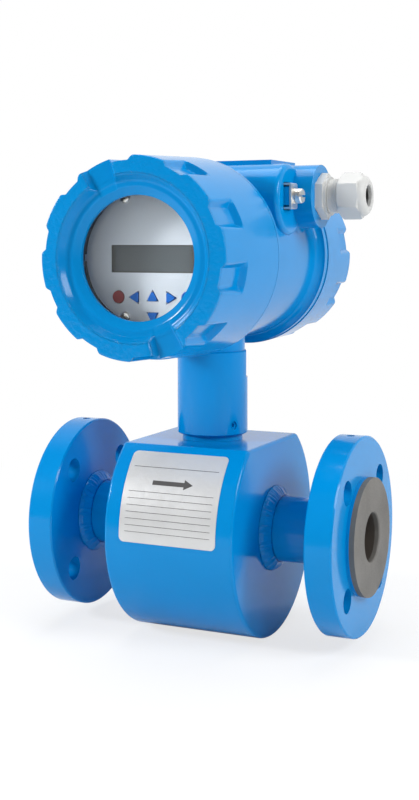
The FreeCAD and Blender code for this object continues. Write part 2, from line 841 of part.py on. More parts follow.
def side_swells(body):
    """Thick places in the barrel's wall beside each conduit boss."""
    sketch = new_sketch(body, "SwellSketch", "YZ_Plane")
    draw_circle(sketch, "swell_back", "conduit_rise - swell_drop", "swell_radius")
    raised(body, "SideSwells", sketch, "2 * swell_reach", both=True)

    def outer_edge(edge):
        box = edge.BoundBox
        round_edge = isinstance(edge.Curve, Part.Circle) and near(edge.Curve.Radius, val("swell_radius"))
        return round_edge and box.XLength < 1e-3 and near(abs(box.XMin), val("swell_reach"))
    rounded(body, "SwellEdges", "swell_edge", outer_edge)
    sketch = new_sketch(body, "SaddleRoomSketch", "YZ_Plane", lift="block_reach")
    low = "(block_low + block_high) / 2 - saddle_height / 2 - saddle_room"
    high = "(block_low + block_high) / 2 + saddle_height / 2 + saddle_room"
    draw_outline(sketch, [
        ("-block_front - saddle_room", low),
        ("-block_back + saddle_room", low),
        ("-block_back + saddle_room", high),
        ("-block_front - saddle_room", high),
    ])
    sunk(body, "SaddleRoom", sketch, depth="saddle_leg - saddle_gap + saddle_room")


def earth_block(body):
    """The lug on the side that carries the outside earth terminal."""
    sketch = new_sketch(body, "EarthBlockSketch", "YZ_Plane")
    draw_outline(sketch, [
        ("-block_front", "block_low"),
        ("-block_back", "block_low"),
        ("-block_back", "block_high"),
        ("-block_front", "block_high"),
    ])
    raised(body, "EarthBlock", sketch, "block_reach")
    sketch = new_sketch(body, "EarthHoleSketch", "YZ_Plane", lift="block_reach")
    draw_circle(sketch, "block_middle_y", "(block_low + block_high) / 2",
                "earth_screw_radius + earth_screw_play")
    sunk(body, "EarthHole", sketch, depth="earth_screw_length + 1")


def neck_socket(body):
    """The round foot of the casting and the spigot that enters the neck tube."""
    sketch = new_sketch(body, "FootSketch", "XY_Plane", lift="-neck_rise")
    draw_circle(sketch, "0", "0", "neck_boss_radius")
    raised(body, "Foot", sketch, "neck_rise - barrel_inside")
    sketch = new_sketch(body, "NeckSpigotSketch", "XY_Plane", lift="-neck_rise")
    draw_circle(sketch, "0", "0", "neck_inside")
    raised(body, "NeckSpigot", sketch, "neck_spigot_length", back=True)


def compartments(body):
    """The front and the rear compartment, on either side of the partition."""
    turned(body, "FrontCompartment", [
        ("-front_seat - spigot_length", "0"),
        ("-front_seat - spigot_length", "barrel_inside"),
        ("-partition_front", "barrel_inside"),
        ("-partition_front", "0"),
    ], cut=True)
    turned(body, "RearCompartment", [
        ("-partition_back", "0"),
        ("-partition_back", "barrel_inside"),
        ("rear_seat + spigot_length", "barrel_inside"),
        ("rear_seat + spigot_length", "0"),
    ], cut=True)


# ---- covers, window and seals ----

def bar_slots(body, face, outward):
    """Two wide slots across the raised band, for a bar that turns the cover."""
    lift = face if outward == "front" else "-(%s)" % face
    sketch = new_sketch(body, "BarSlotSketch", "XZ_Plane", lift=lift)
    half = "bar_slot_angle / 2"
    inner = "funnel_radius"
    outer = "(front_collar_radius + 4)"
    draw_outline(sketch, [
        ("-%s * sin(%s)" % (inner, half), "%s * cos(%s)" % (inner, half)),
        ("%s * sin(%s)" % (inner, half), "%s * cos(%s)" % (inner, half)),
        ("%s * sin(%s)" % (outer, half), "%s * cos(%s)" % (outer, half)),
        ("-%s * sin(%s)" % (outer, half), "%s * cos(%s)" % (outer, half)),
    ])
    slot = sunk(body, "BarSlot", sketch, depth="floor_depth", forward=outward == "rear")
    repeated(body, slot, "Y_Axis", "2", "BarSlots")


def rim_notches(body, face, length, turn, outward):
    """Notches round the rim with sloping sides, open at the face."""
    lift = face if outward == "front" else "-(%s)" % face
    sketch = new_sketch(body, "NotchSketch", "XZ_Plane", lift=lift, turn=turn)
    top = "(front_collar_radius + 2)"
    rise = "(front_collar_radius + 2 - notch_floor_radius)"
    draw_outline(sketch, [
        ("notch_floor_radius", "-notch_width / 2"),
        ("notch_floor_radius", "notch_width / 2"),
        (top, "notch_width / 2 + %s * 0.8" % rise),
        (top, "-notch_width / 2 - %s * 0.8" % rise),
    ])
    notch = sunk(body, "Notch", sketch, depth=length, forward=outward == "rear")
    repeated(body, notch, "Y_Axis", "notch_count", "Notches")


def front_cover():
    """The deep cover with the window; its face has a raised band and a funnel."""
    body = new_body("front_cover", at=HEAD, axis=-Y_AXIS, turn="front_slot_turn")
    groove = "-front_seat - seal_groove_offset"
    turned(body, "Cover", [
        ("-front_seat - cover_seam", "cover_thread"),
        ("-front_seat - cover_seam", "front_collar_radius"),
        ("-front_face + cover_edge", "front_rim_radius"),
        ("-front_face", "front_rim_radius - cover_edge"),
        ("-front_face", "band_inner_radius"),
        ("-floor_face", "floor_outer_radius"),
        ("-floor_face", "funnel_radius"),
        ("-lip_front", "window_radius"),
        ("-lip_back", "window_radius"),
        ("-lip_back", "glass_radius + glass_play"),
        ("-glass_back", "glass_radius + glass_play"),
        ("-glass_back", "ring_radius"),
        ("-ring_back", "ring_radius"),
        ("-ring_back", "cover_cavity_radius"),
        ("-front_seat - spigot_length - cover_edge", "cover_cavity_radius"),
        ("-front_seat - spigot_length - cover_edge", "cover_thread"),
        (groove + " - seal_groove_width", "cover_thread"),
        (groove + " - seal_groove_width", "groove_radius"),
        (groove, "groove_radius"),
        (groove, "cover_thread"),
    ])
    bar_slots(body, "front_face", "front")
    rim_notches(body, "front_face", "front_notch_length", "front_notch_turn", "front")


def rear_cover():
    """The closed cover over the terminals."""
    body = new_body("rear_cover", at=HEAD, axis=-Y_AXIS, turn="rear_slot_turn")
    groove = "rear_seat + seal_groove_offset"
    inner_end = "rear_face - floor_depth - rear_face_wall"
    turned(body, "Cover", [
        ("rear_seat + cover_seam", "cover_thread"),
        (groove, "cover_thread"),
        (groove, "groove_radius"),
        (groove + " + seal_groove_width", "groove_radius"),
        (groove + " + seal_groove_width", "cover_thread"),
        ("rear_seat + spigot_length + cover_edge", "cover_thread"),
        ("rear_seat + spigot_length + cover_edge", "cover_cavity_radius"),
        (inner_end, "cover_cavity_radius"),
        (inner_end, "0"),
        ("rear_face - floor_depth", "0"),
        ("rear_face - floor_depth", "floor_outer_radius"),
        ("rear_face", "band_inner_radius"),
        ("rear_face", "rear_rim_radius - cover_edge"),
        ("rear_face - cover_edge", "rear_rim_radius"),
        ("rear_seat + cover_seam", "rear_cover_radius"),
    ])
    bar_slots(body, "rear_face", "rear")
    rim_notches(body, "rear_face", "rear_notch_length", "rear_notch_turn", "rear")


def window_glass():
    body = new_body("window_glass", at=HEAD)
    turned(body, "Pane", [
        ("-lip_back", "0"),
        ("-lip_back", "glass_radius"),
        ("-glass_back", "glass_radius"),
        ("-glass_back", "0"),
    ])


def window_ring():
    """The threaded ring that presses the glass against the lip of the cover."""
    body = new_body("window_ring", at=HEAD)
    turned(body, "Ring", [
        ("-glass_back", "ring_opening"),
        ("-glass_back", "ring_radius"),
        ("-ring_back", "ring_radius"),
        ("-ring_back", "ring_opening"),
    ])
    sketch = new_sketch(body, "WrenchSlotSketch", "XZ_Plane", lift="ring_back")
    draw_box(sketch, "0", "0", "2 * ring_radius + 2", "ring_thickness")
    sunk(body, "WrenchSlots", sketch, depth="ring_thickness / 2", forward=True)


# ---- display and electronics ----

def screw_places():
    """The four screw places of the display, as pairs of expressions."""
    return [(sx + "screw_column_x", sz + "screw_row_z") for sx in ("", "-") for sz in ("", "-")]


def display_standoffs():
    body = new_body("display_standoffs", at=HEAD)
    body.AllowCompound = True
    sketch = new_sketch(body, "PostSketch", "XZ_Plane", lift="partition_front")
    for x, z in screw_places():
        draw_circle(sketch, x, z, "standoff_radius")
    raised(body, "Posts", sketch, "display_back - partition_front")
    sketch = new_sketch(body, "TapSketch", "XZ_Plane", lift="display_back")
    for x, z in screw_places():
        draw_circle(sketch, x, z, "screw_shank_radius")
    sunk(body, "Taps", sketch, depth="6")


def electronics_module():
    """The potted electronics behind the display, notched for the posts."""
    body = new_body("electronics_module", at=HEAD)
    sketch = new_sketch(body, "CanSketch", "XZ_Plane", lift="partition_front + board_gap")
    draw_circle(sketch, "0", "0", "module_radius")
    raised(body, "Can", sketch, "module_depth")
    sketch = new_sketch(body, "PostHoleSketch", "XZ_Plane")
    for x, z in screw_places():
        draw_circle(sketch, x, z, "standoff_radius + key_play")
    sunk(body, "PostHoles", sketch, both=True)


def display_board():
    body = new_body("display_board", at=HEAD)
    sketch = new_sketch(body, "BoardSketch", "XZ_Plane", lift="board_front - board_thickness")
    draw_circle(sketch, "0", "0", "board_radius")
    raised(body, "Board", sketch, "board_thickness")
    sketch = new_sketch(body, "PostHoleSketch", "XZ_Plane")
    for x, z in screw_places():
        draw_circle(sketch, x, z, "standoff_radius")
    sunk(body, "PostHoles", sketch, both=True)


def display_plate():
    """The round front plate, open for the display, the keys and the screws."""
    body = new_body("display_plate", at=HEAD)
    sketch = new_sketch(body, "PlateSketch", "XZ_Plane", lift="display_back")
    draw_circle(sketch, "0", "0", "plate_radius")
    raised(body, "Plate", sketch, "plate_thickness")
    sketch = new_sketch(body, "OpeningSketch", "XZ_Plane")
    draw_box(sketch, "0", "lcd_centre_z", "lcd_width", "lcd_height")
    for x, z in screw_places():
        draw_circle(sketch, x, z, "screw_shank_radius")
    for label, x, z, turn in KEYS:
        if turn is None:
            draw_circle(sketch, x, z, "key_bore")
        else:
            draw_outline(sketch, arrow_points(x, z, turn, "key_size + 3.5 * key_play"))
    sunk(body, "Openings", sketch, both=True)


def display_screws():
    body = new_body("display_screws", at=HEAD)
    body.AllowCompound = True
    sketch = new_sketch(body, "HeadSketch", "XZ_Plane", lift="display_front")
    for x, z in screw_places():
        draw_circle(sketch, x, z, "screw_head_radius")
    raised(body, "Heads", sketch, "screw_head_height")
    sketch = new_sketch(body, "ShankSketch", "XZ_Plane", lift="display_front")
    for x, z in screw_places():
        draw_circle(sketch, x, z, "screw_shank_radius")
    raised(body, "Shanks", sketch, "plate_thickness + board_gap", back=True)
    sketch = new_sketch(body, "SlotSketch", "XZ_Plane", lift="display_front + screw_head_height")
    for x, z in screw_places():
        draw_box(sketch, x, z, "screw_head_radius * 1.3", "screw_head_radius / 4")
    sunk(body, "Slots", sketch, depth="screw_head_height / 2")


def lcd_module():
    """The display cell: a frame behind the plate and a pane in its opening."""
    body = new_body("lcd_module", at=HEAD)
    sketch = new_sketch(body, "FrameSketch", "XZ_Plane", lift="board_front")
    draw_box(sketch, "0", "lcd_centre_z", "lcd_width + 2 * lcd_frame", "lcd_height + lcd_frame")
    raised(body, "Frame", sketch, "board_gap")
    sketch = new_sketch(body, "PaneSketch", "XZ_Plane", lift="display_back")
    draw_box(sketch, "0", "lcd_centre_z", "lcd_width", "lcd_height")
    raised(body, "Pane", sketch, "plate_thickness - lcd_recess")


# label, place on the plate and, for an arrow, the angle it points at
KEYS = (
    ("escape_key", "-2 * key_pitch", "key_row_z", None),
    ("left_key", "-key_pitch", "key_row_z", 180),
    ("up_key", "0", "key_row_z", 90),
    ("right_key", "key_pitch", "key_row_z", 0),
    ("down_key", "0", "key_lower_z", 270),
    ("enter_key", "2 * key_pitch", "key_row_z", None),
)


def arrow_points(x, z, turn, size):
    """An arrow head about x, z that points at the angle turn."""
    points = []
    for corner in range(3):
        angle = turn + 120 * corner
        arm = "(%s) / sqrt(3)" % size
        points.append(("%s + %s * cos(%d)" % (x, arm, angle), "%s + %s * sin(%d)" % (z, arm, angle)))
    return points


def key(label, x, z, turn):
    """A key cap with a rim behind the plate and a stem towards its switch."""
    body = new_body(label, at=(x, "0", "head_height + " + z))
    sketch = new_sketch(body, "CapSketch", "XZ_Plane", lift="display_back - key_play")
    if turn is None:
        draw_circle(sketch, "0", "0", "round_key_radius")
    else:
        draw_outline(sketch, arrow_points("0", "0", turn, "key_size"))
    raised(body, "Cap", sketch, "plate_thickness + key_play + key_stand")
    sketch = new_sketch(body, "RimSketch", "XZ_Plane", lift="display_back - key_play")
    draw_circle(sketch, "0", "0", "round_key_radius + key_flange")
    raised(body, "Rim", sketch, "key_flange", back=True)
    sketch = new_sketch(body, "StemSketch", "XZ_Plane", lift="display_back - key_play")
    draw_circle(sketch, "0", "0", "round_key_radius / 2")
    raised(body, "Stem", sketch, "board_gap - key_play - 2 * key_travel", back=True)
    if turn is not None:
        rounded(body, "CapCorners", "key_corner", cap_corner)


def cap_corner(edge):
    """The three upright corners of an arrow-shaped cap."""
    box = edge.BoundBox
    straight = box.XLength < 1e-3 and box.ZLength < 1e-3
    return straight and box.YLength > val("plate_thickness")


# ---- terminals ----

def terminal_block():
    """The row of terminals on the partition, with a wire mouth for each."""
    body = new_body("terminal_block", at=HEAD)
    sketch = new_sketch(body, "BlockSketch", "XZ_Plane", lift="partition_back")
    draw_box(sketch, "0", "0", "terminal_width", "terminal_height")
    raised(body, "Block", sketch, "terminal_depth", back=True)
    sketch = new_sketch(body, "MouthSketch", "XY_Plane", lift="-terminal_height / 2")
    for x in terminal_places():
        draw_circle(sketch, x, "-partition_back + terminal_depth / 3", "terminal_screw_radius * 0.8")
    sunk(body, "Mouths", sketch, depth="terminal_height / 3", forward=True)
    sketch = new_sketch(body, "ScrewHoleSketch", "XZ_Plane", lift="partition_back - terminal_depth")
    for x in terminal_places():
        draw_circle(sketch, x, "0", "terminal_screw_radius")
    sunk(body, "ScrewHoles", sketch, depth="terminal_depth / 2", forward=True)


def terminal_places():
    pitch = "terminal_width / (terminal_count + 0.5)"
    count = round(val("terminal_count"))
    return ["(%s) * %s" % (i - (count - 1) / 2, pitch) for i in range(count)]


def terminal_screws():
    body = new_body("terminal_screws", at=HEAD)
    body.AllowCompound = True
    lift = "partition_back - terminal_depth * 0.9"
    sketch = new_sketch(body, "HeadSketch", "XZ_Plane", lift=lift)
    for x in terminal_places():
        draw_circle(sketch, x, "0", "terminal_screw_radius")
    raised(body, "Heads", sketch, "terminal_depth * 0.3")


# ---- cable gland, blanking plug ----

GLAND = ("conduit_boss_reach", "conduit_back", "conduit_z")


def gland_body():
    body = new_body("gland_body", at=GLAND)
    thread_end = "gland_hex_height + gland_collar + gland_thread_length"
    turned(body, "Threads", [
        ("-entry_thread_length", "0"),
        ("-entry_thread_length", "thread_radius"),
        ("gland_hex_height", "thread_radius"),
        ("gland_hex_height", "gland_collar_radius"),
        ("gland_hex_height + gland_collar", "gland_collar_radius"),
        ("gland_hex_height + gland_collar", "thread_radius"),
        (thread_end, "thread_radius"),
        (thread_end, "0"),
    ], plane="XZ_Plane")
    sketch = new_sketch(body, "HexSketch", "YZ_Plane")
    draw_hexagon(sketch, "hex_size", 30)
    raised(body, "Hex", sketch, "gland_hex_height")
    turned(body, "Bore", [
        ("-entry_thread_length", "0"),
        ("-entry_thread_length", "gland_bore_radius"),
        (thread_end + " - gland_thread_length / 2", "gland_bore_radius"),
        (thread_end + " - gland_thread_length / 2", "gland_seal_radius + gland_play"),
        (thread_end, "gland_seal_radius + gland_play"),
        (thread_end, "0"),
    ], plane="XZ_Plane", cut=True)


def gland_seal():
    """The rubber ring that closes on the cable, tapered towards the nut."""
    body = new_body("gland_seal", at=GLAND)
    start = "gland_hex_height + gland_collar + gland_thread_length / 2 + gland_play"
    end = "gland_nut_start + gland_nut_length - gland_nut_dome / 2"
    turned(body, "Insert", [
        (start, "gland_seal_bore"),
        (start, "gland_seal_radius"),
        (end + " - gland_nut_dome / 2", "gland_seal_radius"),
        (end, "gland_nut_bore"),
        (end, "gland_seal_bore"),
    ], plane="XZ_Plane")


def gland_nut():
    """The domed nut: a hexagon that ends in a round cap."""
    body = new_body("gland_nut", at=GLAND)
    end = "gland_nut_start + gland_nut_length"
    dome = end + " - gland_nut_dome"
    inside = "thread_radius + gland_play"
    turned(body, "Cap", [
        ("gland_nut_start", inside),
        ("gland_nut_start", "hex_size / 2"),
        (end, "hex_size / 2"),
        (end, "gland_nut_bore + gland_play"),
        (dome + " + gland_nut_dome / 2 + gland_play", "gland_nut_bore + gland_play"),
        (dome + " + gland_play", inside),
    ], plane="XZ_Plane")
    rounded(body, "DomeEdge", "gland_nut_dome * 0.6",
            lambda edge: ring_edge(edge, "x", end, "hex_size / 2"))
    sketch = new_sketch(body, "HexSketch", "YZ_Plane", lift="gland_nut_start")
    draw_hexagon(sketch, "hex_size", 0)
    draw_circle(sketch, "0", "0", inside)
    raised(body, "Hex", sketch, "gland_nut_length - gland_nut_dome")


def blanking_plug():
    """The plug in the cable entry that is not used."""
    body = new_body("blanking_plug", at=("-conduit_boss_reach", "conduit_back", "conduit_z"),
                    axis=Z_AXIS, turn="180")
    sketch = new_sketch(body, "HexSketch", "YZ_Plane")
    draw_hexagon(sketch, "hex_size", 30)
    raised(body, "Hex", sketch, "plug_head_height")
    sketch = new_sketch(body, "ThreadSketch", "YZ_Plane")
    draw_circle(sketch, "0", "0", "thread_radius")
    raised(body, "Thread", sketch, "entry_thread_length", back=True)


# ---- outside earth terminal ----

EARTH = ("block_reach", "block_middle_y", "block_middle_z")


def earth_saddle():
    """The bent plate that clamps the earth wire, with two short legs."""
    body = new_body("earth_saddle", at=EARTH)
    sketch = new_sketch(body, "BentSketch", "XZ_Plane")
    draw_outline(sketch, [
        ("saddle_gap - saddle_leg", "saddle_height / 2"),
        ("saddle_front", "saddle_height / 2"),
        ("saddle_front", "-saddle_height / 2"),
        ("saddle_gap - saddle_leg", "-saddle_height / 2"),
        ("saddle_gap - saddle_leg", "-saddle_height / 2 + saddle_wall"),
        ("saddle_gap", "-saddle_height / 2 + saddle_wall"),
        ("saddle_gap", "saddle_height / 2 - saddle_wall"),
        ("saddle_gap - saddle_leg", "saddle_height / 2 - saddle_wall"),
    ])
    raised(body, "Bent", sketch, "block_front - block_back", both=True)

    def outer_bend(edge):
        box = edge.BoundBox
        upright = box.YLength > 1 and box.XLength < 1e-3 and box.ZLength < 1e-3
        return upright and near(box.XMax, val("saddle_front"))
    rounded(body, "Bends", "saddle_wall * 0.9", outer_bend)
    sketch = new_sketch(body, "HoleSketch", "YZ_Plane")
    draw_circle(sketch, "0", "0", "earth_screw_radius + saddle_play")
    sunk(body, "Hole", sketch, both=True)


def earth_washer():
    body = new_body("earth_washer", at=EARTH)
    turned(body, "Ring", [
        ("saddle_front", "earth_screw_radius + saddle_play"),
        ("saddle_front", "washer_radius"),
        ("washer_front", "washer_radius"),
        ("washer_front", "earth_screw_radius + saddle_play"),
    ], plane="XZ_Plane")


def earth_screw():
    """A slotted cheese-head screw."""
    body = new_body("earth_screw", at=EARTH)
    under = "washer_front + saddle_gap"
    turned(body, "Screw", [
        (under + " - earth_screw_length", "0"),
        (under + " - earth_screw_length", "earth_screw_radius"),
        (under, "earth_screw_radius"),
        (under, "earth_head_radius"),
        (under + " + earth_head_height * 0.8", "earth_head_radius"),
        (under + " + earth_head_height", "earth_head_radius * 0.9"),
        (under + " + earth_head_height", "0"),
    ], plane="XZ_Plane")
    sketch = new_sketch(body, "SlotSketch", "YZ_Plane", lift=under + " + earth_head_height")
    draw_box(sketch, "0", "0", "3 * earth_head_radius", "earth_slot_width")
    sunk(body, "Slot", sketch, depth="earth_slot_depth")


# ---- build, check and write ----

measuring_tube()
flange("outlet_flange", "0")
flange("inlet_flange", "180")
rubber_liner()
liner_face("outlet_liner_face", "0")
liner_face("inlet_liner_face", "180")
housing_shell()
end_plate("outlet_end_plate", "0")
end_plate("inlet_end_plate", "180")
neck_stub()
rating_label()
for side, turn in (("upper", "0"), ("lower", "180")):
    pole(side + "_pole", turn)
    coil(side + "_coil", turn)
return_yoke()
for side, turn in (("rear", "0"), ("front", "180")):
    electrode(side + "_electrode", turn)
    electrode_bush(side + "_electrode_bush", turn)
neck_tube()
neck_set_screw()
neck_seal()
head_housing()
front_cover()
rear_cover()
cover_seal("front_cover_seal", "-(front_seat + seal_middle)")
cover_seal("rear_cover_seal", "rear_seat + seal_middle")
window_glass()
window_ring()
display_standoffs()
electronics_module()
display_board()
display_plate()
display_screws()
lcd_module()
for label, x, z, turn in KEYS:
    key(label, x, z, turn)
terminal_block()
terminal_screws()
gland_body()
gland_seal()
gland_nut()
blanking_plug()
earth_saddle()
earth_washer()
earth_screw()
doc.recompute()

faults = [item.Label for item in doc.Objects if {"Invalid", "Error"} & set(item.State)]
if faults:
    raise SystemExit("failed objects: " + ", ".join(faults))
pieces = [item for item in doc.Objects if item.TypeId == "PartDesign::Body"]
for piece in pieces:
    if piece.Shape.isNull() or not piece.Shape.isValid():
        raise SystemExit("bad shape: " + piece.Label)
os.makedirs("parts", exist_ok=True)
for piece in pieces:
    piece.Shape.exportStep("parts/%s.step" % piece.Label)
    print("%-22s %9.1f mm3" % (piece.Label, piece.Shape.Volume))
print("%d pieces" % len(pieces))
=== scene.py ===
# %% [markdown]
# # An electromagnetic flow meter
# The meter has two halves. Below is the sensor: a lined tube between two pipe flanges, inside
# a welded drum that hides the coils. Above is the transmitter head: an aluminium casting with
# two screwed covers, a window, a display, a cable gland and an earth clamp.
# The solids come from the CAD frame, already in their places and in metres. This lesson dresses
# them: it gives each one a finish, rebuilds the two cast covers with soft edges, and adds the
# small repeated things, such as threads, weld ripples and screws.

# %% Load the frame and measure it
import bpy, bmesh, math
import numpy as np
from mathutils import Matrix, Vector


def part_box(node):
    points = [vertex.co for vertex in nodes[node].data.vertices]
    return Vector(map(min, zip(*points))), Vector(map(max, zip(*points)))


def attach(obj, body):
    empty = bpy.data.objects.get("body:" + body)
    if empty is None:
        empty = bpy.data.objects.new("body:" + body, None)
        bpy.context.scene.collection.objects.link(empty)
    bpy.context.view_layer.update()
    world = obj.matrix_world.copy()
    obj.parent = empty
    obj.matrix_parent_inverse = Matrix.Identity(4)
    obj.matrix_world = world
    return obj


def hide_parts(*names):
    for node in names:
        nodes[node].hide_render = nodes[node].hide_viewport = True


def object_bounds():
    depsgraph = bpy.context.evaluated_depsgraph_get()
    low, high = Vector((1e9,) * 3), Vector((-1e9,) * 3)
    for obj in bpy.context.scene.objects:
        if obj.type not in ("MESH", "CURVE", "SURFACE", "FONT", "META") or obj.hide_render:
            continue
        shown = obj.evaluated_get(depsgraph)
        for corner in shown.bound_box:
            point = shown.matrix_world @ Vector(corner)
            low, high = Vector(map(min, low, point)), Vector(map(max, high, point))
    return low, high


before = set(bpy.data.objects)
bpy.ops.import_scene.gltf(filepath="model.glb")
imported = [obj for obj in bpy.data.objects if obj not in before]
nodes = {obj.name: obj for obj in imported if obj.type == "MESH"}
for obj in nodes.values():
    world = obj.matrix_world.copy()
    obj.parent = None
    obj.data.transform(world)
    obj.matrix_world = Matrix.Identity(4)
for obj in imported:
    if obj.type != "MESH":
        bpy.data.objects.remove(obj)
cad_low, cad_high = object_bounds()
MM = 0.001
print("CAD nodes:", len(nodes), "box:",
      [round(v, 4) for v in cad_low], [round(v, 4) for v in cad_high])

# %% [markdown]
# ## The camera
# A catalogue view stands a little to the right of the meter and slightly above its middle. The
# lens is long, so the flanges stay round. A small lens shift frames the meter without tilting
# the camera, which keeps the neck upright.

# %% Camera
camera_data = bpy.data.cameras.new("studio_camera")
camera = bpy.data.objects.new("studio_camera", camera_data)
bpy.context.scene.collection.objects.link(camera)
bpy.context.scene.camera = camera
camera.location = (0.3235, -0.7231, 0.1714)
camera.rotation_euler = (math.radians(90 - 1.82), 0.0018, math.radians(25.62))
camera_data.sensor_width = 36
camera_data.lens = 59.33
camera_data.shift_x = 0.0400
camera_data.shift_y = -0.1506
camera_data.clip_start = 0.01
camera_data.clip_end = 50
print("camera at", tuple(round(v, 3) for v in camera.location))

# %% [markdown]
# ## Node helpers
# Every finish is a node tree, and most of them want the same few lines: add a node, set its
# sockets, join two sockets. These helpers keep each finish short enough to read in one go.

# %% Helpers for node trees
def join(tree, source, target):
    """Joins a socket to an input; a plain value sets the input, and None leaves it alone."""
    if isinstance(source, bpy.types.NodeSocket):
        tree.links.new(source, target)
    elif source is not None:
        target.default_value = source


def add(tree, kind, **settings):
    """Adds a node. A setting that names a property sets it, any other goes to the input."""
    node = tree.nodes.new(kind)
    for name, value in settings.items():
        if hasattr(node, name):
            setattr(node, name, value)
        else:
            join(tree, value, node.inputs[name.replace("_", " ")])
    return node


def math_node(tree, operation, a, b=None, c=None, clamp=False):
    """One step of arithmetic; each argument is a socket or a number."""
    node = add(tree, "ShaderNodeMath", operation=operation, use_clamp=clamp)
    for place, value in enumerate((a, b, c)):
        join(tree, value, node.inputs[place])
    return node.outputs[0]


def chain(tree, operation, first, *others):
    """The same step over several sockets or numbers, from left to right."""
    for value in others:
        first = math_node(tree, operation, first, value)
    return first


def times(tree, *values):
    return chain(tree, "MULTIPLY", *values)


def plus(tree, *values):
    return chain(tree, "ADD", *values)


def minus(tree, *values):
    return chain(tree, "SUBTRACT", *values)


def largest(tree, *values):
    return chain(tree, "MAXIMUM", *values)


def vector_node(tree, operation, a, b=None):
    """One step of vector arithmetic; a length comes out as a number."""
    node = add(tree, "ShaderNodeVectorMath", operation=operation)
    join(tree, a, node.inputs[0])
    join(tree, b, node.inputs[1])
    return node.outputs["Value" if operation == "LENGTH" else "Vector"]


def split(tree, vector):
    """The outputs X, Y and Z of a vector."""
    return add(tree, "ShaderNodeSeparateXYZ", Vector=vector).outputs


def combine(tree, **parts):
    """A vector from X, Y and Z, each a socket or a number."""
    return add(tree, "ShaderNodeCombineXYZ", **parts).outputs[0]


def ramp(tree, socket, low, high, to_low=0.0, to_high=1.0):
    """Carries a value from one range to another, with soft ends."""
    return add(tree, "ShaderNodeMapRange", interpolation_type="SMOOTHSTEP", Value=socket,
               From_Min=low, From_Max=high, To_Min=to_low, To_Max=to_high).outputs["Result"]


def mix_colour(tree, fac, one, two):
    """Mixes two colours; each is a socket or a value."""
    node = add(tree, "ShaderNodeMix", data_type="RGBA")
    for place, value in ((0, fac), (6, one), (7, two)):
        join(tree, (*value, 1) if isinstance(value, tuple) else value, node.inputs[place])
    return node.outputs[2]


def mix_shaders(tree, fac, one, two, ending):
    """Ends a tree in a mix of two shader nodes."""
    both = add(tree, "ShaderNodeMixShader")
    for place, value in enumerate((fac, one.outputs[0], two.outputs[0])):
        join(tree, value, both.inputs[place])
    join(tree, both.outputs[0], ending.inputs["Surface"])


def object_place(tree):
    return add(tree, "ShaderNodeTexCoord").outputs["Object"]


def noise(tree, place, scale, detail, distortion=0.0):
    """A soft cloud of values between 0 and 1."""
    return add(tree, "ShaderNodeTexNoise", Vector=place, Scale=scale, Detail=detail,
               Distortion=distortion).outputs["Fac"]


def drift(tree, came, goes, cloud, amount):
    """Passes a group's colour on, lighter and darker with a cloud."""
    swing = times(tree, minus(tree, cloud, 0.5), amount)
    shade = add(tree, "ShaderNodeHueSaturation", Color=came.outputs["Colour"],
                Value=math_node(tree, "MULTIPLY_ADD", swing, 2.0, 1.0))
    join(tree, shade.outputs["Color"], goes.inputs["Colour"])


def new_group(name, inputs, outputs):
    """A shader group with named sockets; inputs carry their starting values."""
    tree = bpy.data.node_groups.new(name, "ShaderNodeTree")
    for label, kind, value in inputs:
        socket = tree.interface.new_socket(name=label, in_out="INPUT", socket_type=kind)
        socket.default_value = value
    for label, kind in outputs:
        tree.interface.new_socket(name=label, in_out="OUTPUT", socket_type=kind)
    return tree, tree.nodes.new("NodeGroupInput"), tree.nodes.new("NodeGroupOutput")


FLOAT, COLOUR, VECTOR = "NodeSocketFloat", "NodeSocketColor", "NodeSocketVector"
print("helpers ready")

# %% [markdown]
# ## Shared effect: a painted skin
# Gloss paint on steel or on a casting is never flat. It has a fine orange peel, a slower
# waviness from the metal below, and a colour that drifts by a few percent. One group makes all
# three, so each painted piece only chooses how strong they are. Specks are the tiny dust nibs
# that sit in sprayed paint.

# %% Group: painted skin
def build_paint_skin():
    tree, came, goes = new_group(
        "painted_skin",
        [("Colour", COLOUR, (0, 0.3, 0.7, 1)), ("Drift", FLOAT, 0.06), ("Peel Size", FLOAT, 900),
         ("Peel Height", FLOAT, 0.12), ("Wave Size", FLOAT, 60), ("Wave Height", FLOAT, 0.2),
         ("Gloss", FLOAT, 0.2)],
        [("Colour", COLOUR), ("Roughness", FLOAT), ("Normal", VECTOR)])
    place = object_place(tree)
    slow = noise(tree, place, 22, 3)
    peel = noise(tree, place, came.outputs["Peel Size"], 2)
    wave = noise(tree, place, came.outputs["Wave Size"], 1)
    specks = add(tree, "ShaderNodeTexVoronoi", Vector=place, Scale=170, Randomness=1)
    drift(tree, came, goes, slow, came.outputs["Drift"])
    join(tree, math_node(tree, "MULTIPLY_ADD", slow, 0.08, came.outputs["Gloss"]),
         goes.inputs["Roughness"])
    low = add(tree, "ShaderNodeBump", Distance=0.0008, Strength=came.outputs["Wave Height"],
              Height=wave)
    nib = ramp(tree, specks.outputs["Distance"], 0.0, 0.05, 1.5, 0.0)
    fine = add(tree, "ShaderNodeBump", Distance=0.0006, Strength=came.outputs["Peel Height"],
               Height=plus(tree, peel, nib), Normal=low.outputs["Normal"])
    join(tree, fine.outputs["Normal"], goes.inputs["Normal"])
    return tree


painted_skin = build_paint_skin()
print("group", painted_skin.name, "with", len(painted_skin.nodes), "nodes")

# %% [markdown]
# ## Shared effect: a plain grain
# Plastic, rubber and plated metal need a quieter skin: a slight cloudiness, a roughness that is
# not the same everywhere, and a fine grain that can be drawn out along one axis, as brushing
# and turning do.

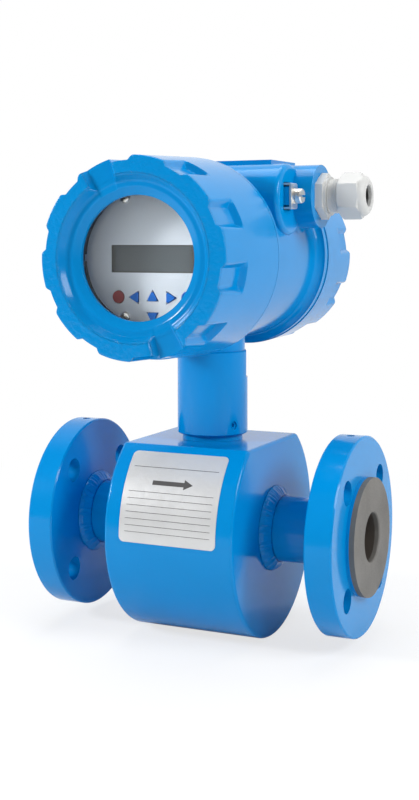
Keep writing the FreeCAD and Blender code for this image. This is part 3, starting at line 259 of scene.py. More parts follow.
# %% Group: fine grain
def build_grain():
    tree, came, goes = new_group(
        "fine_grain",
        [("Colour", COLOUR, (0.5, 0.5, 0.5, 1)), ("Cloud", FLOAT, 0.1), ("Grain Size", FLOAT, 700),
         ("Stretch", VECTOR, (1, 1, 1)), ("Depth", FLOAT, 0.2), ("Rough Low", FLOAT, 0.3),
         ("Rough High", FLOAT, 0.5)],
        [("Colour", COLOUR), ("Roughness", FLOAT), ("Normal", VECTOR)])
    place = object_place(tree)
    drift(tree, came, goes, noise(tree, place, 45, 4), came.outputs["Cloud"])
    drawn = vector_node(tree, "MULTIPLY", place, came.outputs["Stretch"])
    grain = noise(tree, drawn, came.outputs["Grain Size"], 3)
    spread = add(tree, "ShaderNodeMapRange", Value=grain, To_Min=came.outputs["Rough Low"],
                 To_Max=came.outputs["Rough High"])
    join(tree, spread.outputs["Result"], goes.inputs["Roughness"])
    bump = add(tree, "ShaderNodeBump", Distance=0.0001, Strength=came.outputs["Depth"],
               Height=grain)
    join(tree, bump.outputs["Normal"], goes.inputs["Normal"])
    return tree


fine_grain = build_grain()
print("group", fine_grain.name, "with", len(fine_grain.nodes), "nodes")

# %% [markdown]
# ## From a group to a finish
# A finish is a material with a Principled shader in it. The group's outputs feed colour,
# roughness and normal; what is the same all over, such as metalness or the clear coat, is set
# straight on the shader.

# %% Finish maker
def finish_from(group, name, colour, shader, **values):
    """A material in which the group drives colour, roughness and normal."""
    material = bpy.data.materials.new(name)
    material.use_nodes = True
    tree = material.node_tree
    surface = tree.nodes["Principled BSDF"]
    skin = add(tree, "ShaderNodeGroup", node_tree=group, Colour=(*colour, 1), **values)
    join(tree, skin.outputs["Colour"], surface.inputs["Base Color"])
    join(tree, skin.outputs["Roughness"], surface.inputs["Roughness"])
    join(tree, skin.outputs["Normal"], surface.inputs["Normal"])
    for key, value in shader.items():
        surface.inputs[key].default_value = value
    material.diffuse_color = (*colour, 1)
    return material


def skin_of(tree):
    """The group node of a finish."""
    return next(node for node in tree.nodes if node.type == "GROUP")


SKY_BLUE = (0.0, 0.225, 0.56)
gloss = {"Coat Weight": 0.08, "Coat Roughness": 0.03, "Specular IOR Level": 0.16}
welded_paint = finish_from(painted_skin, "sky_blue_on_steel", SKY_BLUE, gloss, Drift=0.05,
                           Peel_Size=650, Peel_Height=0.02, Wave_Size=28, Wave_Height=0.16,
                           Gloss=0.11)
cast_paint = finish_from(painted_skin, "sky_blue_on_casting", SKY_BLUE, gloss, Drift=0.06,
                         Peel_Size=520, Peel_Height=0.04, Wave_Size=55, Wave_Height=0.14,
                         Gloss=0.12)
print("paints:", welded_paint.name, cast_paint.name)

# %% [markdown]
# ## The covers' paint
# A cover is turned smooth on its sides, but the raised band on its face keeps the rough skin of
# the mould, and the paint over it looks like hammered leather. The same paint gets a stronger
# peel there: a mask reads how far a point lies from the head's axis and how near the face it is.

# %% Cover paint with a cast band
HEAD_Z = sum(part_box("front_cover")[i][2] for i in (0, 1)) / 2
front_face_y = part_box("front_cover")[0][1]
rear_face_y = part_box("rear_cover")[1][1]
BAND_STARTS, BAND_FULL = 44 * MM, 46 * MM
SKIN_FULL, SKIN_ENDS = 1.2 * MM, 2.2 * MM
TURNED_PEEL, SKIN_PEEL = 0.05, 1.0
TURNED_PEEL_SIZE, SKIN_PEEL_SIZE = 560, 320


def cover_paint(name, face_y):
    """The cast paint, with mould skin on the band at the face."""
    material = cast_paint.copy()
    material.name = name
    tree = material.node_tree
    skin = skin_of(tree)
    centred = vector_node(tree, "SUBTRACT", object_place(tree), (0, face_y, HEAD_Z))
    distance = vector_node(tree, "LENGTH", vector_node(tree, "MULTIPLY", centred, (1, 0, 1)))
    depth = math_node(tree, "ABSOLUTE", split(tree, centred)["Y"])
    band = times(tree, ramp(tree, depth, SKIN_FULL, SKIN_ENDS, 1.0, 0.0),
                 ramp(tree, distance, BAND_STARTS, BAND_FULL))
    for name, turned, rough in (("Peel Height", TURNED_PEEL, SKIN_PEEL),
                                ("Peel Size", TURNED_PEEL_SIZE, SKIN_PEEL_SIZE)):
        join(tree, math_node(tree, "MULTIPLY_ADD", band, rough - turned, turned),
             skin.inputs[name])
    return material


front_cover_paint = cover_paint("sky_blue_front_cover", front_face_y)
rear_cover_paint = cover_paint("sky_blue_rear_cover", rear_face_y)
print("head axis at z =", round(HEAD_Z, 4),
      "faces at y =", round(front_face_y, 4), round(rear_face_y, 4))

# %% [markdown]
# ## Rubber, plastics and metals
# The other finishes differ in a few numbers. The hard rubber of the lining has been ground, so
# its grain runs across the face. Nickel is metal with a warm tint. Plastics are duller.

# %% Other finishes
plain = {"Specular IOR Level": 0.5}
metal = {"Metallic": 1.0}


def grained(name, colour, cloud, size, depth, rough, shader=plain, stretch=(1, 1, 1)):
    """A finish with the plain grain; rough holds its lowest and highest roughness."""
    return finish_from(fine_grain, name, colour, shader, Cloud=cloud, Grain_Size=size,
                       Depth=depth, Rough_Low=rough[0], Rough_High=rough[1], Stretch=stretch)


ground_rubber = grained("ground_hard_rubber", (0.130, 0.124, 0.114), 0.45, 420, 0.5,
                        (0.45, 0.75), stretch=(1, 1, 3))
bore_rubber = grained("smooth_bore_rubber", (0.060, 0.050, 0.042), 0.5, 300, 0.3,
                      (0.35, 0.6), stretch=(0.2, 1, 1))
bare_steel = grained("bare_steel", (0.58, 0.57, 0.56), 0.15, 500, 0.2, (0.25, 0.45), metal,
                     (1, 6, 1))
copper = grained("enamelled_copper", (0.62, 0.24, 0.10), 0.2, 900, 0.6, (0.25, 0.4), metal,
                 (0.1, 0.1, 3))
nickel = grained("nickel_plate", (0.84, 0.81, 0.76), 0.15, 600, 0.12, (0.24, 0.42),
                 {"Metallic": 0.85})
cream_plastic = grained("cream_insulator", (0.72, 0.66, 0.52), 0.1, 800, 0.1, (0.4, 0.55))
soft_rubber = grained("soft_black_rubber", (0.018, 0.018, 0.019), 0.3, 900, 0.25, (0.5, 0.7))
gland_plastic = grained("light_grey_polyamide", (0.53, 0.535, 0.525), 0.06, 750, 0.08,
                        (0.32, 0.46), {"Specular IOR Level": 0.35})
black_plastic = grained("black_plastic", (0.02, 0.02, 0.022), 0.2, 900, 0.2, (0.4, 0.6))
terminal_plastic = grained("terminal_grey", (0.08, 0.09, 0.09), 0.2, 900, 0.2, (0.4, 0.6))
solder_mask = grained("green_solder_mask", (0.01, 0.09, 0.035), 0.5, 300, 0.1, (0.2, 0.35))
key_blue = grained("blue_key_cap", (0.0, 0.15, 0.62), 0.08, 900, 0.1, (0.25, 0.4),
                   {"Specular IOR Level": 0.1})
key_red = grained("red_key_cap", (0.34, 0.045, 0.05), 0.1, 900, 0.1, (0.3, 0.45))
ink = grained("dark_grey_ink", (0.055, 0.052, 0.05), 0.4, 500, 0.1, (0.45, 0.65))
print("finishes so far:", len(bpy.data.materials))

# %% [markdown]
# ## Printed foil, display and glass
# The rating label and the display's front are foils. The label has a crinkled silver ground.
# The display cell is grey glass whose rim is darker than its middle. The window is a clear
# pane that lets shadow rays straight through, so that the lamps reach the display.

# %% Foil, display and glass
LCD_HALF_WIDTH, LCD_HALF_HEIGHT = 25.4 * MM, 7.6 * MM


def crinkled_foil():
    """Silver-white foil with soft creases."""
    material = grained("label_foil", (0.60, 0.60, 0.595), 0.10, 260, 0.35, (0.28, 0.42),
                       {"Metallic": 0.25, "Specular IOR Level": 0.5})
    tree = material.node_tree
    crease = noise(tree, object_place(tree), 170, 4, 1.2)
    bump = add(tree, "ShaderNodeBump", Strength=0.45, Distance=0.0002, Height=crease,
               Normal=skin_of(tree).outputs["Normal"])
    join(tree, bump.outputs["Normal"], tree.nodes["Principled BSDF"].inputs["Normal"])
    return material


def display_glass():
    """The cell's grey field, a little darker towards its rim."""
    low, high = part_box("lcd_module")
    middle_z = (low[2] + high[2]) / 2
    material = grained("grey_display_glass", (0.085, 0.102, 0.112), 0.10, 900, 0.02,
                       (0.18, 0.26))
    tree = material.node_tree
    place = split(tree, object_place(tree))
    from_middle = math_node(tree, "ABSOLUTE", minus(tree, place["Z"], middle_z))
    across = math_node(tree, "DIVIDE", math_node(tree, "ABSOLUTE", place["X"]), LCD_HALF_WIDTH)
    up = math_node(tree, "DIVIDE", from_middle, LCD_HALF_HEIGHT)
    rim = ramp(tree, largest(tree, across, up), 0.80, 1.0)
    colour = mix_colour(tree, rim, skin_of(tree).outputs["Colour"], (0.045, 0.047, 0.046))
    join(tree, colour, tree.nodes["Principled BSDF"].inputs["Base Color"])
    return material


def window_pane():
    """Clear glass; only its gloss is textured, by faint wipe marks."""
    material = bpy.data.materials.new("window_pane")
    material.use_nodes = True
    tree = material.node_tree
    surface = tree.nodes["Principled BSDF"]
    marks = ramp(tree, noise(tree, object_place(tree), 60, 2, 2), 0.35, 0.8, 0.0, 0.03)
    for name, value in (("Transmission Weight", 1.0), ("IOR", 1.45), ("Roughness", marks),
                        ("Base Color", (0.96, 0.98, 0.98, 1))):
        join(tree, value, surface.inputs[name])
    mix_shaders(tree, add(tree, "ShaderNodeLightPath").outputs["Is Shadow Ray"], surface,
                add(tree, "ShaderNodeBsdfTransparent"), tree.nodes["Material Output"])
    return material


label_foil = crinkled_foil()
lcd_glass = display_glass()
clear_glass = window_pane()
front_foil = grained("display_front_foil", (0.68, 0.73, 0.80), 0.05, 600, 0.04, (0.30, 0.42))
print("finishes in all:", len(bpy.data.materials))

# %% [markdown]
# ## Finish the CAD solids
# Most solids already have the right shape, so they only take a finish. A node's object is never
# moved and its mesh never changed: the new material goes into its material slots.

# %% Give each CAD node its finish
FINISH = {
    welded_paint: ("measuring_tube", "inlet_flange", "outlet_flange", "housing_shell",
                   "inlet_end_plate", "outlet_end_plate", "neck_tube", "neck_stub",
                   "neck_set_screw"),
    cast_paint: ("head_housing",),
    ground_rubber: ("inlet_liner_face", "outlet_liner_face"),
    bore_rubber: ("rubber_liner",),
    bare_steel: ("upper_pole", "lower_pole", "return_yoke", "front_electrode",
                 "rear_electrode"),
    copper: ("upper_coil", "lower_coil"),
    nickel: ("display_standoffs", "display_screws", "terminal_screws", "blanking_plug",
             "earth_saddle", "earth_washer", "earth_screw"),
    cream_plastic: ("front_electrode_bush", "rear_electrode_bush"),
    soft_rubber: ("neck_seal", "front_cover_seal", "rear_cover_seal", "gland_seal"),
    gland_plastic: ("gland_body", "gland_nut"),
    black_plastic: ("window_ring", "electronics_module"),
    solder_mask: ("display_board",),
    front_foil: ("display_plate",),
    lcd_glass: ("lcd_module",),
    key_red: ("escape_key",),
    key_blue: ("left_key", "up_key", "right_key", "down_key", "enter_key"),
    terminal_plastic: ("terminal_block",),
    clear_glass: ("window_glass",),
    label_foil: ("rating_label",),
    front_cover_paint: ("front_cover",),
    rear_cover_paint: ("rear_cover",),
}


def paint_node(name, material):
    """Puts one finish in all of a CAD node's material slots."""
    for place in nodes[name].material_slots:
        place.material = material


for material, names in FINISH.items():
    for name in names:
        paint_node(name, material)
print("finished", sum(len(names) for names in FINISH.values()), "of", len(nodes), "nodes")

# %% [markdown]
# ## A helper for new pieces
# A new piece is a mesh whose points are already in their final place, so its object stays at
# the origin. It rides on a body, takes a finish, and may hide the CAD nodes that it takes the
# place of.

# %% Helper: make a piece
def make_piece(name, mesh, material, body, stands_for=()):
    """Links a mesh as a piece that rides on a body."""
    mesh.materials.clear()
    mesh.materials.append(material)
    piece = bpy.data.objects.new(name, mesh)
    bpy.context.scene.collection.objects.link(piece)
    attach(piece, body)
    if stands_for:
        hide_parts(*stands_for)
    print("%-20s %6d faces on %s" % (name, len(mesh.polygons), body))
    return piece


def soften(mesh, degrees):
    """Soft shading, with edges sharper than the angle kept."""
    mesh.polygons.foreach_set("use_smooth", [True] * len(mesh.polygons))
    mesh.set_sharp_from_angle(angle=math.radians(degrees))


def mesh_from(name, points, faces, smooth_angle=None):
    """A mesh from points and faces, with normals out and soft shading below an angle."""
    mesh = bpy.data.meshes.new(name)
    mesh.from_pydata([tuple(p) for p in points], [], [tuple(f) for f in faces])
    work = bmesh.new()
    work.from_mesh(mesh)
    bmesh.ops.remove_doubles(work, verts=work.verts, dist=1e-7)
    bmesh.ops.recalc_face_normals(work, faces=work.faces)
    work.to_mesh(mesh)
    work.free()
    if smooth_angle is not None:
        soften(mesh, smooth_angle)
    return mesh


# %% [markdown]
# ## The cast covers
# A cover is a lathe shape with two kinds of hollows cut from it: two wide slots across the band,
# for a bar that turns the cover, and ten notches round the rim, for a hook spanner. Cutting them
# with booleans leaves knife edges. A casting has soft ones, so the surface is worked out by a
# rule instead: it is a grid of angle against a walk along the outline, and at each point the
# lathe shape and the hollow are blended with a small radius.

# %% Rule for a cast cover
def soft_min(a, b, radius):
    """The smaller of two, with a fillet of about that radius where they cross."""
    h = np.clip(0.5 + 0.5 * (b - a) / radius, 0, 1)
    return b * (1 - h) + a * h - radius * h * (1 - h)


def walk(corners, step):
    """Points every step or so along straight runs between corners, with the corners kept."""
    points = [corners[0]]
    for start, end in zip(corners, corners[1:]):
        start, end = np.array(start), np.array(end)
        count = max(1, int(round(np.linalg.norm(end - start) / step)))
        points += [tuple(start + (end - start) * i / count) for i in range(1, count + 1)]
    return np.array(points)


def rounded_corner(before, corner, after, radius, steps=5):
    """A corner of the outline as a short arc."""
    before, corner, after = (np.array(p, float) for p in (before, corner, after))
    a = corner + (before - corner) / np.linalg.norm(before - corner) * radius
    b = corner + (after - corner) / np.linalg.norm(after - corner) * radius
    t = np.linspace(0, 1, steps + 1)[:, None]
    return [tuple(p) for p in (1 - t) ** 2 * a + 2 * t * (1 - t) * corner + t * t * b]


SLOT_HALF, SLOT_SLOPE = math.radians(15.3 / 2), 1.6
NOTCH_FLOOR, NOTCH_HALF, NOTCH_EVERY = 52.2, 5.1, 36
NOTCH_SIDE, NOTCH_END, NOTCH_END_RUN = 1.25, 2.6, 1.2
RIM_INNER = NOTCH_FLOOR - 4
BAND_DEPTH, BAND_OUTER, BAND_INNER = 4.7, 41.7, 38.3
CAST_EDGE = 0.9


def cover_outside(angle, depth, radius, notch_length, slot_turn, notch_turn):
    """The outside of a cover in mm: depth is counted inwards from its face."""
    half = NOTCH_EVERY / 2
    from_notch = (np.degrees(angle) - notch_turn + half) % NOTCH_EVERY - half
    arc = np.abs(np.radians(from_notch)) * NOTCH_FLOOR
    side = np.maximum(arc - NOTCH_HALF, 0) * NOTCH_SIDE
    end = np.maximum(depth - (notch_length - NOTCH_END_RUN), 0) * NOTCH_END
    hollow = NOTCH_FLOOR + np.hypot(side, end)
    new_radius = np.where(radius > RIM_INNER, soft_min(radius, hollow, CAST_EDGE), radius)
    from_slot = np.abs((angle - math.radians(slot_turn) + math.pi / 2) % math.pi - math.pi / 2)
    slot_floor = BAND_DEPTH - np.maximum(from_slot - SLOT_HALF, 0) * radius * SLOT_SLOPE
    new_depth = np.where(radius > BAND_INNER, -soft_min(-depth, -slot_floor, CAST_EDGE), depth)
    return new_depth, new_radius


print("rule for covers ready")

# %% [markdown]
# With the rule in hand, a cover is one closed grid: the walk goes down the outside, over the
# band, into the funnel, and back through the inside with its seats for the glass, its ring and
# its seal. Only the outside follows the rule for hollows; the inside stays a plain lathe shape.

# %% Build both covers
AROUND = 540


def ring_mesh(name, points, smooth_angle):
    """A mesh from a grid of points that closes on itself both ways."""
    rows, around = points.shape[:2]
    faces = []
    for i in range(rows):
        a, b = i * around, ((i + 1) % rows) * around
        for j in range(around):
            k = (j + 1) % around
            faces.append((a + j, a + k, b + k, b + j))
    return mesh_from(name, points.reshape(-1, 3), faces, smooth_angle)


def spun(rows, around):
    """An outline repeated round the axis: a grid of runs and a grid of radii."""
    return [np.repeat(np.array(rows)[:, i:i + 1], around, axis=1) for i in (0, 1)]


def lathe_cover(name, face_y, inwards, outside, inside, notch_length, slot_turn, notch_turn):
    """A closed cover mesh; inwards is +1 when depth runs towards +Y, else -1."""
    angle = np.linspace(0, 2 * math.pi, AROUND, endpoint=False)[None, :]
    (depth, radius), (in_depth, in_radius) = spun(outside, AROUND), spun(inside, AROUND)
    depth, radius = cover_outside(angle, depth, radius, notch_length, slot_turn, notch_turn)
    depth, radius = np.vstack([depth, in_depth]), np.vstack([radius, in_radius])
    x = radius * np.cos(angle) * MM
    z = radius * np.sin(angle) * MM + HEAD_Z
    y = face_y + inwards * depth * MM
    return ring_mesh(name, np.stack([x, y, z], axis=-1), 38)


floor_out, floor_in, funnel_end = (BAND_DEPTH, BAND_OUTER), (BAND_DEPTH, BAND_INNER), (7.2, 33.8)
face_rows = [rounded_corner((2, 54.97), (0, 54.9), (0, 53), 1.1),
             walk([(0, 53.4), (0, 46.6)], 0.75),
             rounded_corner((0, 47), (0, 45), floor_out, 1.3),
             walk([(0.9, 44.37), (3.6, 42.47)], 0.5),
             rounded_corner((0, 45), floor_out, floor_in, 1.2)]

front_outside = np.vstack([
    walk([(68.5, 57.2), (30.0, 55.9)], 4.0), walk([(29.6, 55.89), (20.5, 55.6)], 0.7),
    walk([(19.5, 55.55), (2.6, 55.0)], 1.6), *face_rows,
    rounded_corner(floor_out, floor_in, funnel_end, 0.9), walk([(5.4, 37.0), (7.0, 34.16)], 0.8),
    rounded_corner(floor_in, funnel_end, (9.2, 33.8), 0.3, 3)])
front_inside = walk([(9.2, 33.8), (9.2, 40.2), (15.2, 40.2), (15.2, 42), (19.2, 42), (19.2, 46),
                     (46.2, 46), (46.2, 51.3), (64.2, 51.3), (64.2, 53.7), (67.0, 53.7),
                     (67.0, 51.3), (68.5, 51.3)], 30)
front_mesh = lathe_cover("cast_front_cover", front_face_y, 1, front_outside, front_inside,
                         27, 113.6, 25.3)
make_piece("cast_front_cover", front_mesh, front_cover_paint, "front_cover_turn",
           ("front_cover",))

rear_outside = np.vstack([
    walk([(45.5, 56.0), (23.0, 55.45)], 4.0), walk([(22.6, 55.44), (13.5, 55.2)], 0.7),
    walk([(12.5, 55.2), (2.6, 54.95)], 1.6), *face_rows, walk([(4.7, 39.5), (4.7, 0.0)], 8)])
rear_inside = walk([(10.7, 0.0), (10.7, 46), (23.2, 46), (23.2, 51.3), (41.2, 51.3),
                    (41.2, 53.7), (44.0, 53.7), (44.0, 51.3), (45.5, 51.3)], 30)
rear_mesh = lathe_cover("cast_rear_cover", rear_face_y, -1, rear_outside, rear_inside,
                        20, 110.0, 9.0)
make_piece("cast_rear_cover", rear_mesh, rear_cover_paint, "rear_cover_turn",
           ("rear_cover",))

# %% [markdown]
# ## Geometry Nodes: a common way to run a tree
# Threads, weld ripples and screws are repeats, so small node trees make them. This helper puts a
# tree on an empty mesh object as a modifier, sets its named inputs by their identifiers, turns
# the result into a plain mesh, and removes the modifier again.

# %% Helpers for Geometry Nodes
def new_tree(name, inputs):
    """A geometry tree with named size inputs and one geometry output."""
    tree = bpy.data.node_groups.new(name, "GeometryNodeTree")
    tree.interface.new_socket(name="Geometry", in_out="INPUT", socket_type="NodeSocketGeometry")
    for label, kind, value in inputs:
        socket = tree.interface.new_socket(name=label, in_out="INPUT", socket_type=kind)
        if value is not None:
            socket.default_value = value
    tree.interface.new_socket(name="Geometry", in_out="OUTPUT", socket_type="NodeSocketGeometry")
    return tree, tree.nodes.new("NodeGroupInput"), tree.nodes.new("NodeGroupOutput")


def close_tree(tree, came, goes, geometry):
    """Every tree ends in Realize Instances and Set Material."""
    real = tree.nodes.new("GeometryNodeRealizeInstances")
    dress = tree.nodes.new("GeometryNodeSetMaterial")
    join(tree, geometry, real.inputs[0])
    join(tree, real.outputs[0], dress.inputs["Geometry"])
    join(tree, came.outputs["Finish"], dress.inputs["Material"])
    join(tree, dress.outputs[0], goes.inputs[0])


def run_tree(tree, name, **sizes):
    """Runs a tree with these input values and returns a plain mesh."""
    carrier = bpy.data.objects.new(name, bpy.data.meshes.new(name))
    bpy.context.scene.collection.objects.link(carrier)
    modifier = carrier.modifiers.new(name, "NODES")
    modifier.node_group = tree
    for item in tree.interface.items_tree:
        key = item.name.replace(" ", "_")
        if item.item_type == "SOCKET" and item.in_out == "INPUT" and key in sizes:
            modifier[item.identifier] = sizes[key]
    ready = carrier.evaluated_get(bpy.context.evaluated_depsgraph_get())
    mesh = bpy.data.meshes.new_from_object(ready)
    mesh.name = name
    carrier.modifiers.remove(modifier)
    bpy.data.objects.remove(carrier)
    return mesh


def place_mesh(mesh, origin, axis="Z"):
    """Moves a mesh made round Z to its place, with Z turned to the given axis."""
    turn = Vector((0, 0, 1)).rotation_difference(Vector(axis)).to_matrix().to_4x4()
    turn.translation = Vector(origin)
    mesh.transform(turn)
    return mesh


# %% [markdown]
# ## Screw threads
# The gland shows a few turns of thread between its hexagon and its nut, and each cover screws
# on to a spigot whose thread shows once the cover is off. A thread is a ridge swept along a
# helix: the tree draws a spiral curve and sweeps a small diamond along it.

# %% Tree: thread ridge on a helix
def build_thread_tree():
    tree, came, goes = new_tree("thread_ridge", [
        ("Radius", FLOAT, 0.01), ("Turns", FLOAT, 4.0), ("Length", FLOAT, 0.004),
        ("Ridge", FLOAT, 0.0005), ("Steps a Turn", "NodeSocketInt", 48),
        ("Finish", "NodeSocketMaterial", None)])
    radius = came.outputs["Radius"]
    spiral = add(tree, "GeometryNodeCurveSpiral", Resolution=came.outputs["Steps a Turn"],
                 Rotations=came.outputs["Turns"], Start_Radius=radius, End_Radius=radius,
                 Height=came.outputs["Length"])
    ridge = add(tree, "GeometryNodeCurvePrimitiveCircle", Resolution=4,
                Radius=came.outputs["Ridge"])
    sweep = add(tree, "GeometryNodeCurveToMesh", Curve=spiral.outputs[0],
                Profile_Curve=ridge.outputs[0], Fill_Caps=True)
    close_tree(tree, came, goes, sweep.outputs[0])
    return tree


thread_tree = build_thread_tree()
gland_low, gland_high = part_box("gland_body")
GLAND_Y, GLAND_Z = (gland_low[1] + gland_high[1]) / 2, (gland_low[2] + gland_high[2]) / 2
GLAND_THREAD_X = 68.4 * MM
mesh = run_tree(thread_tree, "gland_thread", Radius=9.55 * MM, Turns=8.4, Length=12.6 * MM,
                Ridge=0.70 * MM, Steps_a_Turn=64, Finish=gland_plastic)
place_mesh(mesh, (GLAND_THREAD_X, GLAND_Y, GLAND_Z), (1, 0, 0))
make_piece("gland_thread", mesh, gland_plastic, "head")

# %% [markdown]
# ## The gland's nut
# The moulded nut is a hexagon with its corners taken off by a cone at each end, and it closes in
# a round lip. The rule is the same as for the covers: at each angle the nut is as wide as the
# hexagon or the turned outline, whichever is less. It starts a few millimetres further out than
# the plain solid, so that the thread shows.

# %% Gland nut
NUT_START, NUT_FLAT, NUT_AROUND, NUT_EDGE = 75.2, 12.0, 180, 0.35
nut_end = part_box("gland_nut")[1][0] / MM
nut_outside = [(NUT_START + run, width) for run, width in (
    (0, 12.7), (0.5, 13.4), (1.1, 14.2), (6, 14.2))]
nut_outside += [(nut_end - back, width) for back, width in (
    (5.4, 14.2), (4.6, 13.6), (4.1, 12.9), (3.9, 12.2), (3.3, 12.0), (2.2, 11.5), (1.2, 10.7),
    (0.5, 9.7), (0.1, 8.5), (0, 7.5), (0.2, 6.7), (0.8, 6.3))]
nut_inside = [(nut_end - 2.7, 6.3), (nut_end - 5.7, 10.3), (NUT_START, 10.3)]
angle = np.linspace(0, 2 * math.pi, NUT_AROUND, endpoint=False)[None, :]
hexagon = NUT_FLAT / np.cos((angle + math.pi / 6) % (math.pi / 3) - math.pi / 6)
along, radius = spun(nut_outside + nut_inside, NUT_AROUND)
outer = slice(len(nut_outside))
radius[outer] = soft_min(radius[outer], hexagon, NUT_EDGE)
y, z = GLAND_Y + radius * np.cos(angle) * MM, GLAND_Z + radius * np.sin(angle) * MM
nut_mesh = ring_mesh("moulded_gland_nut", np.stack([along * MM, y, z], axis=-1), 32)
make_piece("moulded_gland_nut", nut_mesh, gland_plastic, "gland_nut_turn",
           ("gland_nut",))

# %% [markdown]
# ## The spigots' threads
# The same tree makes the coarse thread on each of the two spigots that the covers screw on to.

# %% Spigot threads
SPIGOTS = (("front", -43.5 * MM, -1), ("rear", 56.2 * MM, 1))
for side, start_y, way in SPIGOTS:
    mesh = run_tree(thread_tree, side + "_spigot_thread", Radius=50.7 * MM, Turns=9.5,
                    Length=14.2 * MM, Ridge=0.45 * MM, Steps_a_Turn=120, Finish=bare_steel)
    place_mesh(mesh, (0, start_y, HEAD_Z), (0, way, 0))
    make_piece(side + "_spigot_thread", mesh, bare_steel, "head")

# %% [markdown]
# ## Weld beads
# The tube is welded to the flanges and to the end plates of the drum, turn by turn, and each
# small melt leaves a crescent. The bead is a grid rolled into a ring: one way runs round the
# tube, the other across the bead and back underneath. Its top is a low crown with lumps and
# ripples.

# %% Tree: weld bead
TOP_SHARE = 0.7


def arch(tree, share, height):
    """Nothing at both ends and a quarter of the height in the middle."""
    return times(tree, minus(tree, 1.0, share), times(tree, share, height))


def build_weld_tree():
    tree, came, goes = new_tree("weld_bead", [
        ("Small Radius", FLOAT, 0.019), ("Large Radius", FLOAT, 0.025), ("Width", FLOAT, 0.006),
        ("Crown", FLOAT, 0.0009), ("Ripple", FLOAT, 0.0002), ("Ripples", FLOAT, 44.0),
        ("Lumps", FLOAT, 0.001), ("Finish", "NodeSocketMaterial", None)])
    sheet = add(tree, "GeometryNodeMeshGrid", Size_X=1.0, Size_Y=1.0, Vertices_X=421,
                Vertices_Y=17)
    place = split(tree, add(tree, "GeometryNodeInputPosition").outputs[0])
    turn = times(tree, place["X"], 2 * math.pi)
    cosine, sine = math_node(tree, "COSINE", turn), math_node(tree, "SINE", turn)
    along = plus(tree, place["Y"], 0.5)
    top = math_node(tree, "DIVIDE", along, TOP_SHARE, clamp=True)
    under = math_node(tree, "DIVIDE", minus(tree, along, TOP_SHARE), 1 - TOP_SHARE, clamp=True)
    across = minus(tree, top, under)
    top_arch, under_arch = arch(tree, top, 4.0), arch(tree, under, 0.004)
    phase = times(tree, turn, came.outputs["Ripples"])
    wave = math_node(tree, "SINE", plus(tree, phase, times(tree, top_arch, 2.2)))
    lift = times(tree, wave, came.outputs["Ripple"], top_arch)
    crown = times(tree, top_arch, came.outputs["Crown"])
    rise = minus(tree, came.outputs["Large Radius"], came.outputs["Small Radius"])
    cone = math_node(tree, "MULTIPLY_ADD", rise, minus(tree, 1.0, across),
                     came.outputs["Small Radius"])
    lumps = add(tree, "ShaderNodeTexNoise", noise_dimensions="2D", Scale=7.0, Detail=2.0,
                Vector=combine(tree, X=cosine, Y=sine))
    lump = times(tree, minus(tree, lumps.outputs["Fac"], 0.5),
                 times(tree, top_arch, came.outputs["Lumps"]))
    radius = plus(tree, cone, crown, lump, minus(tree, lift, under_arch))
    spot = combine(tree, X=times(tree, radius, cosine), Y=times(tree, radius, sine),
                   Z=times(tree, across, came.outputs["Width"]))
    rolled = add(tree, "GeometryNodeSetPosition", Geometry=sheet.outputs["Mesh"], Position=spot)
    sewn = add(tree, "GeometryNodeMergeByDistance", Geometry=rolled.outputs[0], Distance=1e-6)
    soft = add(tree, "GeometryNodeSetShadeSmooth", Geometry=sewn.outputs[0])
    close_tree(tree, came, goes, soft.outputs[0])
    return tree


weld_tree = build_weld_tree()
DRUM_END, FLANGE_BACK = 40 * MM, 79 * MM
WELDS = (("drum", DRUM_END, 1, 0.9, 0.26, 3.4), ("flange", FLANGE_BACK, -1, 0.8, 0.20, 2.4))
work = bmesh.new()
for side in (-1, 1):
    for place, start, way, crown, ripple, lumps in WELDS:
        mesh = run_tree(weld_tree, place + "_weld", Small_Radius=19.05 * MM,
                        Large_Radius=25.1 * MM, Width=6.1 * MM, Crown=crown * MM,
                        Ripple=ripple * MM, Ripples=46.0, Lumps=lumps * MM, Finish=welded_paint)
        work.from_mesh(place_mesh(mesh, (side * start, 0, 0), (side * way, 0, 0)))
bmesh.ops.recalc_face_normals(work, faces=work.faces)
mesh = bpy.data.meshes.new("tube_weld_beads")
work.to_mesh(mesh)
work.free()
make_piece("tube_weld_beads", mesh, welded_paint, "sensor")

# %% [markdown]
# ## Display screws
# Four pan-head screws with a cross recess hold the display plate. One screw is turned from a
# cylinder whose top is domed, its cross is cut with two bars, and the tree sets it at the four
# corners of a small grid.

